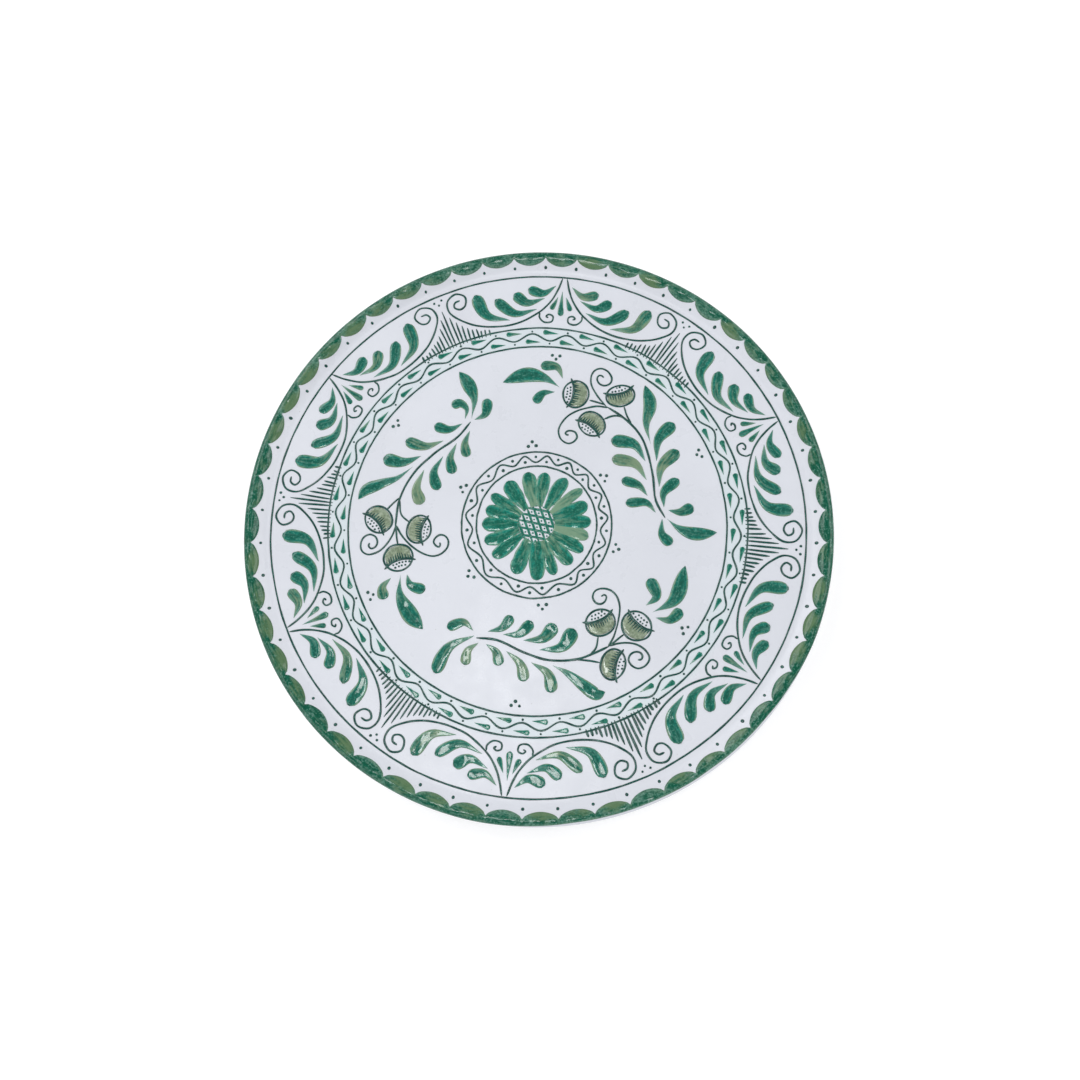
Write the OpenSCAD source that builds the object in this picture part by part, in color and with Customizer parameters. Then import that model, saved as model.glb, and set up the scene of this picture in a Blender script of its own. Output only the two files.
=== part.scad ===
// Hand painted ceramic plate: a thrown clay body on a foot ring, dipped in white
// glaze and painted in raised green enamel.  +Z is up, the origin is the middle of
// the surface that the foot ring stands on, and the six rim garlands start at
// garland_a, measured anticlockwise from +X.  All sizes are millimetres.

/* [Body] */
// Outside diameter over the lip
plate_d = 280; // [230:1:340]
// Width of the sloping rim, from the flat well floor to the outside
rim_w = 52; // [44:1:62]
// Rise of the rim from the well floor to the foot of the lip
rim_rise = 2.5; // [1:0.1:8]
// Width of the upturned lip
lip_w = 11; // [8:0.5:12]
// Height of the lip's crest above the well floor
lip_h = 6.2; // [4.5:0.1:12]
// Radius of the rounded edge of the lip
lip_round = 2.2; // [1.6:0.1:2.6]
// Thickness of the wall under the well
wall_t = 6.5; // [5:0.1:9]
// Height of the foot ring
foot_h = 5.5; // [3:0.1:8]
// Middle radius of the foot ring
foot_r = 80; // [60:1:84]
// Width of the foot ring where it stands
foot_w = 5; // [4:0.5:8]

/* [Coats] */
// Thickness of the white glaze
glaze_t = 0.5; // [0.3:0.05:1]
// Height of the enamel above the glaze
paint_t = 0.3; // [0.2:0.05:0.5]
// Thickness of the pale wash inside the berries
wash_t = 0.15; // [0.1:0.05:0.18]
// Width of the fine painted lines
line_w = 0.9; // [0.6:0.05:1.3]

/* [Rim painting] */
// Width of the green band on the lip, seen from above
lip_band_w = 3.2; // [2:0.1:5]
// Depth of the lobes that hang from the lip band
scallop_drop = 3.6; // [2:0.1:4.5]
// Number of lobes round the lip
scallop_count = 53; // [24:1:72]
// Distance from the outside to the line under the lip
rim_line_in = 12.1; // [11:0.1:16]
// Angle of the first garland's peak
garland_a = 83.5; // [0:0.5:120]
// Number of garlands
garland_count = 6; // [3:1:6]

/* [Band] */
// Gap from the well floor's edge to the band's inner line
band_gap = 3; // [2:0.1:6]
// Width of the band between its two lines
band_w = 9.7; // [8:0.1:14]
// Number of waves in the band
wave_count = 34; // [20:1:44]

/* [Well painting] */
// Radius of the medallion's outer line
medallion_r = 36.1; // [28:0.1:44]
// Width of the medallion's border
border_w = 7.2; // [6:0.1:9]
// Reach of the flower's petals
flower_r = 26; // [18:0.1:27]
// Radius of the flower's lattice centre
lattice_r = 9.6; // [6:0.1:12]

/* [Hidden] */
$fn = 240;
plate_r = plate_d / 2;
well_r = plate_r - rim_w;
lip_r = plate_r - lip_w;
floor_z = foot_h + wall_t;
crest_r = plate_r - lip_round;
edge_z = floor_z + lip_h - lip_round;
plate_h = floor_z + lip_h;
foot_out = foot_r + foot_w / 2;
foot_in = foot_r - foot_w / 2;
foot_draft = 2;         // how much the ring widens towards the body on each side
rim_wall_t = 5.4;       // wall thickness at the foot of the lip
rim_line_r = plate_r - rim_line_in;
band_in_r = well_r + band_gap;
band_out_r = band_in_r + band_w;
border_in_r = medallion_r - border_w;
wave_rise = 0.18;       // swing of the band's wave, as a share of the band's width
wave_start = 112.5;     // angle of one crest
band_mid = 0.51;        // where the wave's middle runs across the band
wave_step = 360 / wave_count;
brush_round = 0.6;      // how full a brush mark is towards its ends: 1 is a plain sine
dot_r = 0.7;
small_dot_r = 0.58;
trio_half_w = 1.9;      // half the distance between a trio's two side dots
trio_h = 2.1;           // from the side dots to the third one
seed_r = 0.42;

// The garland and branch points below are given for fields of these sizes, and the
// functions rim_at() and well_at() spread them over the real fields.
drawn_garland_h = 27.2;
drawn_well = [36.1, 91];
drawn_flower_r = 26;
garland_k = (rim_line_r - band_out_r) / drawn_garland_h;
well_k = (band_in_r - medallion_r) / (drawn_well[1] - drawn_well[0]);
garland_line_w = line_w * min(1, garland_k);    // so that the curls stay open on a narrow rim

// One side of a garland, as [angle from the peak, height above the band].
SCROLL = [
    [0.5, 26.6], [1.3, 20.8], [2.6, 15.2], [4.3, 10.9], [7, 6.9], [11, 3.5], [15, 2.6], [19, 3.4],
    [23, 6.1], [26.5, 11.3], [28.4, 17.3], [27.9, 22.7], [25.5, 25.2], [23.6, 22.3], [24.2, 17.8],
    [25.6, 16.7], [26.8, 18.6], [26.3, 20.9], [25, 21.3]
];
CURL = [
    [5.6, 8.2], [5.7, 5.8], [4.4, 3.2], [2.3, 3.7], [2.1, 6.4], [3.2, 7.3], [3.9, 6.3], [3.3, 5.5]
];
// Brush leaves: [tail, middle, head, width, belly].
GARLAND_LEAVES = [
    [[1.9, 22.5], [4.8, 18.4], [8.4, 20.8], 5.2, 2.2],
    [[4.4, 15.8], [8.9, 13.6], [11.9, 18.6], 5.6, 2.2],
    [[6.4, 10], [12.2, 8.4], [16.7, 16.9], 5.6, 2.2],
    [[13.8, 5.2], [19.6, 9.8], [21.2, 21.6], 6.6, 1.9]
];
FAN = [
    [[0.2, 19.8], [0.2, 12], [0.1, 6.8], 3.2, 2.2],
    [[1.2, 16.8], [1.9, 13.2], [2.7, 9.9], 2.5, 2.2],
    [[-0.8, 16.8], [-1.6, 13.2], [-2.4, 9.9], 2.5, 2.2]
];
// Dots above a comb, as above but with the angle from the comb's middle.
RIM_TRIO = [[0.9, 24.6], [-0.9, 24.6], [0, 22.7]];
// Tops of the comb strokes, from the middle outward, as heights above the band.
COMB_TOPS = [19.4, 15, 11, 8.3, 6.3, 5, 4.3, 2.9, 2.5, 2.3];
comb_step = 1.12;       // degrees between comb strokes

// The three branches, drawn as the hand placed them.  Stem lines first, then the brush
// leaves as [points from the tail to the head, width, belly], then the berries as
// [centre, radius, angle faced, depth that way as a share of the width].
STEMS = [
    [
        [[-32.5, 52], [-38.5, 44.5], [-50, 36], [-60, 25.8], [-66.5, 13], [-68.2, -1.5]],
        [[-67.9, 0], [-69.5, -5], [-72.5, -10], [-76.5, -13.3], [-81, -14.4], [-84, -12.5],
            [-84.6, -9], [-83.3, -6], [-80.5, -4.6], [-77.6, -5.8], [-76.6, -8.5], [-77.7, -10.8],
            [-79.5, -11.5], [-80.8, -10.2], [-80.4, -8.7]],
        [[-67.9, 0], [-65, -5], [-60, -10.5], [-54.5, -14], [-49.5, -15.4], [-45.5, -14.2],
            [-42.7, -11], [-42.3, -8], [-44, -5.6], [-46.5, -5.1], [-48.6, -6.4], [-49.4, -8.4],
            [-48.3, -10.2], [-46.9, -10.9], [-46.2, -10], [-46.4, -8.7]],
        [[-66.7, 13.5], [-70, 10.4], [-72.6, 7.6]],
        [[-66.5, 13], [-65.4, 5.2], [-61.2, 1.2]],
        [[-67.9, 0], [-67.3, -6], [-66.6, -9.6]]
    ],
    [
        [[61.7, 2.5], [57.5, 11], [56, 26], [51.3, 43], [43, 53], [34.5, 59]],
        [[34.5, 58.8], [29.5, 65.5], [27, 71], [27.3, 75.5], [29.5, 78.4], [32.5, 78.9], [35.7, 77],
            [37.3, 73.5], [36.2, 70.9], [33.5, 70], [31, 71.2], [30, 73.5], [30.9, 75.2],
            [32.3, 75.2], [33.3, 74.2]],
        [[35.5, 58.5], [30, 59.3], [25, 58.5], [20, 57], [15, 54], [11.8, 50], [10.8, 46.5],
            [12, 42.5], [15.5, 40.3], [18.2, 41.2], [19.8, 43.5], [19, 45.9], [17, 46.8],
            [15, 46.6], [14.2, 45.6], [14.8, 44.8], [15.9, 44.6]],
        [[33.5, 60], [29.5, 61.5], [26, 62.5]],
        [[46.5, 50.2], [44.5, 54], [43, 59]],
        [[43.5, 52.7], [40.5, 54], [37, 54], [33, 52.5]]
    ],
    [
        [[-28.3, -54.7], [-18.5, -55.8], [-6, -61.5], [6, -65.3], [18, -65], [26, -62.5],
            [34, -58.8]],
        [[33.5, -59], [36.3, -54], [38.4, -47], [39.2, -40], [37.7, -35], [34.5, -32.2],
            [30.5, -31.6], [27.5, -33], [26.6, -35.8], [28, -38.3], [30.5, -38.9], [32.6, -37.3],
            [33, -35.4], [32.2, -34.6], [30.5, -35.3]],
        [[34, -58.8], [38, -57.6], [43, -57.4], [47.5, -58.5], [51, -61], [52.7, -64.5],
            [51, -67.7], [47.5, -69.2], [44.5, -68], [42.9, -65.5], [43.6, -62.9], [46, -61.6],
            [48.4, -62], [49.4, -63.6], [48.8, -65], [47.2, -65.3]],
        [[25, -62.8], [27.8, -59.5], [29, -54]],
        [[33.8, -58.8], [37.5, -56], [41.2, -53.2]],
        [[18, -65], [24, -65.5], [29.6, -66.5]]
    ]
];
BRANCH_LEAVES = [
    [
        [[[-36.7, 51], [-43, 48.2], [-50.3, 50]], 5.6, 2.2],
        [[[-45.8, 42.3], [-55, 39.6], [-64.3, 42.5]], 5.8, 2.2],
        [[[-56.6, 34.5], [-65.5, 31.7], [-75, 33.6]], 6.4, 2.2],
        [[[-60.5, 29.2], [-68, 23.6], [-77, 20.3], [-83, 17.6], [-86.6, 12.9]], 6.2, 1.6],
        [[[-32.8, 47.3], [-35.2, 40.8], [-34, 34]], 4.8, 2.2],
        [[[-39.3, 41], [-42.3, 33], [-40.8, 25.5]], 5.4, 2.2],
        [[[-45.8, 34.3], [-50.2, 26], [-48, 17.3]], 5.6, 2.2],
        [[[-55, 27.5], [-58.4, 18], [-56, 10.2]], 6.2, 2.2],
        [[[-32, 53.5], [-31, 64], [-33.6, 71], [-38.6, 78.2]], 7.4, 1.7],
        [[[-35.3, 53.5], [-34.6, 58.8], [-37.8, 61.6], [-42, 60.2]], 5, 2.2],
        [[[-30.5, 53], [-25.4, 56], [-24.2, 63.8]], 5.6, 2.2],
        [[[-69.5, -26], [-73.4, -30.5], [-72.4, -36.2]], 5.2, 2.2],
        [[[-65, -24.5], [-64.9, -34], [-60.2, -43], [-53.6, -50.4]], 7.8, 1.8],
        [[[-61.8, -24.3], [-60, -29.3], [-53, -31.8]], 5.2, 2.2]
    ],
    [
        [[[61.2, 7.8], [61.4, 15], [68.6, 21.6]], 5.6, 2.2],
        [[[59.2, 18], [60.6, 28], [69, 36]], 6.2, 2.2],
        [[[58.2, 31], [59.6, 42], [67.3, 50]], 6.6, 2.2],
        [[[55.6, 39.5], [53.8, 50], [55.8, 60], [53.6, 69.8]], 7, 1.75],
        [[[57.2, 5.2], [52.8, 10], [43, 10]], 5, 2.2],
        [[[53.5, 13.5], [49.5, 18.6], [41.3, 21.7]], 5, 2.2],
        [[[53.2, 21.5], [48, 29.5], [36.8, 32.4]], 5.8, 2.2],
        [[[52.8, 31], [47.8, 39.2], [36.6, 42]], 6.8, 2.2],
        [[[62.5, 2], [68, -2.6], [75.5, -5.4], [86, -4.9]], 6.8, 1.8],
        [[[60.3, 2], [59.9, -5.4], [64.2, -10.6]], 5.2, 2.2],
        [[[63.3, 6.3], [69, 5.3], [75.2, 8]], 5.4, 2.2],
        [[[13, 74], [10.2, 80], [2.2, 81]], 5.4, 2.2],
        [[[11.5, 69.4], [4, 74.4], [-5, 76.2], [-16.7, 72.4]], 8, 1.6],
        [[[9, 67], [3.2, 66.4], [-1, 61.6]], 5.2, 2.2]
    ],
    [
        [[[-22.8, -51.7], [-16, -50], [-11.5, -44.5]], 5, 2.2],
        [[[-15.5, -53.3], [-8, -52.8], [-2, -47.3]], 5.8, 2.2],
        [[[-6, -56], [3, -55], [9, -48.6]], 6.4, 2.2],
        [[[1.5, -60.5], [12, -59], [17.8, -50.8]], 7.2, 2.2],
        [[[-23.5, -57.7], [-19, -61.3], [-17.3, -67.6]], 5, 2.2],
        [[[-14, -61], [-7.6, -67], [-5.5, -75]], 5.8, 2.2],
        [[[-2.3, -66.3], [5.3, -71.5], [7.3, -80.2]], 6.2, 2.2],
        [[[7.5, -67.7], [14, -71], [22, -77], [28, -81], [31.8, -80]], 6.2, 1.5],
        [[[-29.3, -53.7], [-41.2, -59.2], [-47.5, -71]], 6.6, 2],
        [[[-27.3, -57], [-32, -60.6], [-33.5, -67.3]], 5, 2.2],
        [[[-29.7, -51.2], [-34.3, -47.4], [-42, -49.8]], 5, 2.2],
        [[[51.7, -39.7], [56.4, -35.5], [53.4, -27]], 6.4, 2.2],
        [[[54.5, -43], [65, -37], [70.5, -21]], 7.4, 1.7],
        [[[56, -45.6], [62.5, -46.6], [68.2, -42]], 5.8, 2.2]
    ]
];
BERRIES = [
    [[[-76.4, 2.8], 7, 221, 0.9], [[-56.7, -2.2], 6.8, -12, 0.86], [[-66.3, -16], 7, -75, 0.93]],
    [[[19.4, 65.7], 7, 168, 0.9], [[41.3, 64.5], 7.1, 102, 0.76], [[27.1, 50.2], 6.8, 229, 0.86]],
    [[[30.1, -47.8], 7, 111, 0.88], [[46.8, -49.4], 7.2, 47, 0.92], [[35.6, -67.3], 7.2, -15, 0.8]]
];
// A berry's crown line, as shares of its radius along and across the way it faces.
CROWN = [[0.55, -1.1], [0.27, -0.55], [0.18, 0], [0.22, 0.55], [0.45, 1.12]];

// Angles of the medallion wave's crests, unevenly spaced as the hand left them.
WAVE_CRESTS = [81, 62, 44.5, 24, 5, -17, -38.5, -58.5, -85, -106, -134, -163, -188, -213, -239, -260];
MEDALLION_TRIOS = [93, 35, -18, -86, -142, 153];
// Petals as [angle, reach as a share of flower_r, width].
PETALS = [
    [99, 1, 7.4], [80, 1, 6.6], [58, 1.02, 7], [38, 1.07, 5.4], [21, 1.01, 7.6], [2, 1.01, 7.4],
    [-15, 0.99, 6.4], [-31, 1, 6.6], [-50, 0.99, 6.8], [-71, 1.01, 6], [-89, 1.05, 8],
    [-113, 1.01, 7.6], [-142, 1.01, 7], [-161, 1.01, 7], [180, 1.01, 7.6], [163, 0.99, 7],
    [146, 1.01, 6.2], [124, 0.99, 7.6]
];

CELLS = [for (i = [1:garland_count]) i];
BRANCHES = [1, 2, 3];

GLAZE = [0.87, 0.88, 0.9];
CLAY = [0.80, 0.66, 0.52];
LIP_GREEN = [0.27, 0.49, 0.40];
LEAF_GREEN = [0.25, 0.50, 0.44];
DEEP_GREEN = [0.05, 0.40, 0.30];
OLIVE = [0.63, 0.68, 0.53];
LINE_GREEN = [0.20, 0.35, 0.33];

// ---------- points and curves ----------

function polar(a, r) = r * [cos(a), sin(a)];
function rim_at(a, h) = polar(a, band_out_r + h * garland_k);
function well_at(p) =
    let (r = norm(p))
    p / r * (medallion_r + (r - drawn_well[0]) * well_k);

// Point at t of the smooth curve's span from b to c, with a before and d after.
function span(a, b, c, d, t) =
    let (bend = 2 * a - 5 * b + 4 * c - d)
    let (twist = 3 * b - a - 3 * c + d)
    (2 * b + (c - a) * t + bend * t * t + twist * t * t * t) / 2;

// Smooth open curve through the points p, with n steps to a span.
function curve(p, n) = let (m = len(p) - 1) [
    for (i = [0:m - 1], j = [0:n - 1]) span(p[max(i - 1, 0)], p[i], p[i + 1], p[min(i + 2, m)], j / n),
    p[m]
];

// Unit vector to the left of the curve c at its point i.
function left(c, i) =
    let (d = c[min(i + 1, len(c) - 1)] - c[max(i - 1, 0)])
    [-d[1], d[0]] / norm(d);

// Outline of a line of width w along the curve c.
function line_outline(c, w) = let (m = len(c) - 1) concat(
    [for (i = [0:m]) c[i] + left(c, i) * w / 2],
    [for (i = [m:-1:0]) c[i] - left(c, i) * w / 2]
);

// Outline of a brush leaf: thin at the tail, widest past the middle, round at the head.
function leaf_outline(c, w, belly) =
    let (m = len(c) - 1)
    let (half = [for (i = [0:m]) w / 2 * pow(sin(180 * pow(i / m, belly)), brush_round)])
    concat(
        [c[0]],
        [for (i = [1:m - 1]) c[i] + left(c, i) * half[i]],
        [c[m]],
        [for (i = [m - 1:-1:1]) c[i] - left(c, i) * half[i]]
    );

// Outline of a petal: narrow at its foot, then of one width up to its round tip.
function petal_outline(c, w) =
    let (foot_share = 0.42, filled_at = 0.55, tip_power = 9)
    let (m = len(c) - 1)
    let (half = [for (i = [0:m])
        let (grown = foot_share + (1 - foot_share) * ease(min(1, i / m / filled_at)))
        w / 2 * grown * sqrt(1 - pow(i / m, tip_power))])
    concat(
        [for (i = [0:m - 1]) c[i] + left(c, i) * half[i]],
        [c[m]],
        [for (i = [m - 1:-1:0]) c[i] - left(c, i) * half[i]]
    );

// ---------- brush marks ----------

module line_mark(p, n = 3, w = line_w) {
    polygon(line_outline(curve(p, n), w));
}

// Brush leaf through the points p, with at least n steps from the tail to the head.
module leaf_mark(p, w, belly, n = 12) {
    polygon(leaf_outline(curve(p, ceil(n / (len(p) - 1))), w, belly));
}

module ring_mark(r, w = line_w) {
    difference() {
        circle(r + w / 2);
        circle(r - w / 2);
    }
}

module dot_mark(p, r = dot_r) {
    translate(p) circle(r, $fn = 16);
}

// Two dots side by side at r_pair and one between them at r_one.
module trio_mark(a, r_pair, r_one) {
    for (side = [-1, 1]) dot_mark(polar(a, r_pair) + side * trio_half_w * [-sin(a), cos(a)]);
    dot_mark(polar(a, r_one));
}

// ---------- where paint sits ----------

// Paint on the flat floor of the well.
module on_well(t = paint_t, lift = 0) {
    translate([0, 0, floor_z + lift]) linear_extrude(t) children();
}

// Paint on the conical rim.
module on_rim() {
    intersection() {
        translate([0, 0, foot_h]) linear_extrude(plate_h) children();
        rotate_extrude() polygon([
            [well_r, floor_z],
            [lip_r, floor_z + rim_rise],
            [lip_r, floor_z + rim_rise + paint_t],
            [well_r, floor_z + paint_t]
        ]);
    }
}

// ---------- body and coats ----------

// Easing from 0 to 1 with level ends.
function ease(t) = t * t * (3 - 2 * t);

// Upper edge of the plate's half section from the axis to the outside, moved up by up.
function face_edge(up) = concat(
    [[0, floor_z + up], [well_r, floor_z + up]],
    [for (t = [0:0.25:0.75]) [
        lip_r + (crest_r - lip_r) * t,
        floor_z + up + rim_rise + (lip_h - rim_rise) * ease(t)
    ]],
    [for (a = [90:-18:0]) [crest_r, edge_z] + (lip_round + up) * [cos(a), sin(a)]]
);

// Lower edge from the outside back to the foot ring, moved down by under.
function back_edge(under) = concat(
    [for (a = [-18:-18:-72]) [crest_r, edge_z] + (lip_round + under) * [cos(a), sin(a)]],
    [
        [lip_r, floor_z + rim_rise - rim_wall_t - under],
        [foot_out + foot_draft, foot_h - under]
    ]
);

// Half section of the glazed plate without its foot ring.
module section(up = 0) {
    polygon(concat([[0, foot_h]], face_edge(up), back_edge(0)));
}

// Half section of the bare clay inside the glaze, with the foot ring.
module clay_section() {
    polygon(concat(
        face_edge(-glaze_t),
        back_edge(-glaze_t),
        [
            [foot_out + foot_draft, foot_h],
            [foot_out, 0],
            [foot_in, 0],
            [foot_in - foot_draft, foot_h],
            [foot_in - foot_draft, foot_h + glaze_t],
            [0, foot_h + glaze_t]
        ]
    ));
}

module biscuit_body() {
    color(CLAY) rotate_extrude() clay_section();
}

module glaze_coat() {
    color(GLAZE) rotate_extrude() difference() {
        section();
        clay_section();
        square([foot_r, foot_h + wall_t / 2]);
    }
}

module foot_recess_glaze() {
    color(GLAZE) translate([0, 0, foot_h]) cylinder(h = glaze_t, r = foot_in - foot_draft);
}

// ---------- painting on the lip ----------

// Skin of enamel over the lip between two radii, down to the height low.
module lip_skin(r_in, r_out, low) {
    rotate_extrude() intersection() {
        difference() {
            section(paint_t);
            section();
        }
        translate([r_in, low]) square([r_out - r_in, plate_h]);
    }
}

module lip_band() {
    color(LIP_GREEN) lip_skin(plate_r - lip_band_w, plate_r + paint_t, edge_z);
}

// Angle of the cusp before lobe i: the spacing drifts slowly round the plate.
function cusp_a(i) =
    let (even = i * 360 / scallop_count)
    115 - even + 1.6 * (1 - cos(even));

module lip_scallops() {
    band_in = plate_r - lip_band_w;
    lobe_steps = 5;
    lobe_share = 0.94;      // share of the way between two cusps that a lobe takes
    cusp_drop = 0.4;        // how far the paint hangs at a cusp
    overlap = 1;            // how far the lobes' outlines run past the band's edge
    color(LIP_GREEN) intersection() {
        translate([0, 0, foot_h]) linear_extrude(plate_h) for (i = [0:scallop_count - 1]) {
            a = cusp_a(i);
            da = (cusp_a(i + 1) - a) * lobe_share;
            polygon(concat(
                [polar(a, band_in + overlap), polar(a, band_in - cusp_drop)],
                [for (k = [1:lobe_steps - 1]) polar(
                    a + da * k / lobe_steps,
                    band_in - scallop_drop * pow(sin(180 * k / lobe_steps), brush_round)
                )],
                [polar(a + da, band_in - cusp_drop), polar(a + da, band_in + overlap)]
            ));
        }
        lip_skin(lip_r, band_in, floor_z);
    }
}

module scallop_dots() {
    dot_gap = 0.9;          // from the reach of the lobes in to the middle of a dot
    dot_in = plate_r - lip_band_w - scallop_drop - dot_gap;
    color(LINE_GREEN) intersection() {
        translate([0, 0, foot_h]) linear_extrude(plate_h) for (i = [0:scallop_count - 1]) {
            dot_mark(polar(cusp_a(i), dot_in));
        }
        lip_skin(lip_r, plate_r - lip_band_w, floor_z);
    }
}

// ---------- painting on the rim ----------

module rim_line() {
    color(LINE_GREEN) on_rim() ring_mark(rim_line_r);
}

// Mirrors its children across the garland's axis and turns them to garland i.
module both_sides(i) {
    rotate(garland_a - (i - 1) * 360 / garland_count) {
        children();
        mirror([0, 1]) children();
    }
}

module garland_scroll(i) {
    color(LINE_GREEN) on_rim() both_sides(i) {
        line_mark([for (p = SCROLL) rim_at(p[0], p[1])], 2, garland_line_w);
        line_mark([for (p = CURL) rim_at(p[0], p[1])], 2, garland_line_w);
    }
}

module garland_leaf(l) {
    points = [for (k = [0:2]) rim_at(l[k][0], l[k][1])];
    leaf_mark(points, l[3] * garland_k, l[4]);
}

module garland_leaves(i) {
    color(LEAF_GREEN) on_rim() {
        both_sides(i) for (l = GARLAND_LEAVES) garland_leaf(l);
        rotate(garland_a - (i - 1) * 360 / garland_count) for (l = FAN) garland_leaf(l);
    }
}

// Straight brush stroke along the radius at angle a, clear of the band's line.
module comb_stroke(a, top) {
    rotate(a) {
        translate([band_out_r - line_w, -line_w / 2]) square([line_w / 2, line_w]);
        translate([band_out_r + line_w / 2, -line_w / 2]) square([top * garland_k, line_w]);
    }
}

module garland_comb(i) {
    middle = garland_a - (i - 1.5) * 360 / garland_count;
    last = len(COMB_TOPS) - 1;
    color(LINE_GREEN) on_rim() for (k = [-last:last]) {
        comb_stroke(middle + k * comb_step, COMB_TOPS[abs(k)]);
    }
}

module rim_trio_dots() {
    color(LINE_GREEN) on_rim() for (i = CELLS) {
        middle = garland_a - (i - 1.5) * 360 / garland_count;
        for (p = RIM_TRIO) dot_mark(rim_at(middle + p[0], p[1]), small_dot_r);
    }
}

// ---------- painting on the band ----------

// Where the drops and dots lie, as shares of the way from the band's inner line.
under_crest = 0.27;
over_trough = 0.76;
over_crest = 0.83;
under_trough = 0.18;

function band_at(a, share) = polar(a, band_in_r + share * band_w);

module band_outer_line() {
    color(LINE_GREEN) on_rim() ring_mark(band_out_r);
}

module band_inner_line() {
    color(LINE_GREEN) on_rim() ring_mark(band_in_r);
}

module band_wave() {
    steps = 8;
    wave = [for (k = [0:wave_count * steps])
        let (a = k * 360 / steps)
        band_at(wave_start - wave_step * k / steps, band_mid + wave_rise * cos(a))];
    color(LINE_GREEN) on_rim() difference() {
        polygon([for (p = wave) p * (1 + line_w / 2 / norm(p))]);
        polygon([for (p = wave) p * (1 - line_w / 2 / norm(p))]);
    }
}

// A drop whose head lies anticlockwise of its tail, at the angle a and share of the band.
module drop_mark(a, share) {
    tail_a = 0.227 * wave_step;
    head_a = 0.198 * wave_step;
    tilt = 0.03;
    width = 0.206 * band_w;
    tail = band_at(a - tail_a, share - tilt);
    middle = band_at(a + tail_a / 5, share);
    head = band_at(a + head_a, share + tilt);
    leaf_mark([tail, middle, head], width, 2, 6);
}

module band_drops() {
    color(LEAF_GREEN) on_rim() for (k = [0:wave_count - 1]) {
        crest_a = wave_start - wave_step * k;
        drop_mark(crest_a, under_crest);
        drop_mark(crest_a - wave_step / 2, over_trough);
    }
}

module band_dots() {
    color(LINE_GREEN) on_rim() for (k = [0:wave_count - 1]) {
        crest_a = wave_start - wave_step * k;
        dot_mark(band_at(crest_a, over_crest), small_dot_r);
        dot_mark(band_at(crest_a - wave_step / 2, under_trough), small_dot_r);
    }
}

// ---------- painting in the well ----------

module well_trio_dots() {
    color(LINE_GREEN) on_well() for (i = CELLS) {
        trio_mark(garland_a - (i - 1) * 360 / garland_count, well_r - 1.2, well_r - 1.2 - trio_h);
    }
}

// The berry's outline, grown by g.
module berry_shape(b, g = 0) {
    a = b[2];
    r = b[1] * well_k;
    translate(well_at(b[0])) polygon([for (t = [0:15:345])
        (r * b[3] + g) * cos(t) * [cos(a), sin(a)] + (r + g) * sin(t) * [-sin(a), cos(a)]]);
}

// The crown line of a berry, moved along the way the berry faces.
function crown_points(b, along = 0) =
    let (r = well_k * b[1])
    let (facing = [cos(b[2]), sin(b[2])])
    let (beside = [-facing[1], facing[0]])
    [for (p = CROWN) well_at(b[0]) + r * ((p[0] + along) * facing + p[1] * beside)];

module branch_stem(i) {
    color(LINE_GREEN) on_well() difference() {
        union() for (s = STEMS[i - 1]) line_mark([for (p = s) well_at(p)]);
        for (b = BERRIES[i - 1]) berry_shape(b, line_w / 2);
    }
}

module branch_leaves(i) {
    color(LEAF_GREEN) on_well() for (l = BRANCH_LEAVES[i - 1]) {
        leaf_mark([for (p = l[0]) well_at(p)], l[1] * well_k, l[2]);
    }
}

// Where a berry has its wash: inside the outline, on the stalk's side of the crown line.
module wash_shape(b) {
    top = curve(crown_points(b), 3);
    behind = crown_points(b, -2);
    difference() {
        intersection() {
            berry_shape(b, -line_w / 2);
            polygon(concat(top, [behind[len(CROWN) - 1], behind[0]]));
        }
        polygon(line_outline(top, line_w));
    }
}

module berry_wash(i) {
    color(OLIVE) on_well(wash_t) for (b = BERRIES[i - 1]) wash_shape(b);
}

// Outline, crown line and seeds on the glaze, and hatching on the wash.
module berry_drawing(i) {
    color(LINE_GREEN) {
        on_well() for (b = BERRIES[i - 1]) {
            difference() {
                berry_shape(b, line_w / 2);
                berry_shape(b, -line_w / 2);
            }
            line_mark(crown_points(b));
            berry_seeds(b);
        }
        on_well(paint_t - wash_t, wash_t) for (b = BERRIES[i - 1]) intersection() {
            wash_shape(b);
            berry_hatching(b);
        }
    }
}

module berry_hatching(b) {
    hatch_h = 0.5;          // length, as a share of the berry's radius
    hatch_w = 0.7 * line_w;
    top = curve(crown_points(b), 3);
    bottom = curve(crown_points(b, -hatch_h), 3);
    for (k = [2:len(top) - 3]) polygon(line_outline([top[k], bottom[k]], hatch_w));
}

module berry_seeds(b) {
    rows = [0.28, 0.5];     // distances above the crown line, as shares of the radius
    for (row = rows) {
        seeds = curve(crown_points(b, row), 3);
        for (k = [4:len(seeds) - 5]) dot_mark(seeds[k], seed_r * well_k);
    }
}

// ---------- painting in the medallion ----------

module medallion_outer_line() {
    color(LINE_GREEN) on_well() ring_mark(medallion_r);
}

module medallion_inner_line() {
    color(LINE_GREEN) on_well() ring_mark(border_in_r);
}

// Angle of the trough after crest k of the medallion's wave.
crest_count = len(WAVE_CRESTS);
function crest_a(k) = WAVE_CRESTS[k % crest_count] - 360 * floor(k / crest_count);
function trough_a(k) = (crest_a(k) + crest_a(k + 1)) / 2;
function border_at(a, share) = polar(a, border_in_r + share * border_w);

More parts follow.
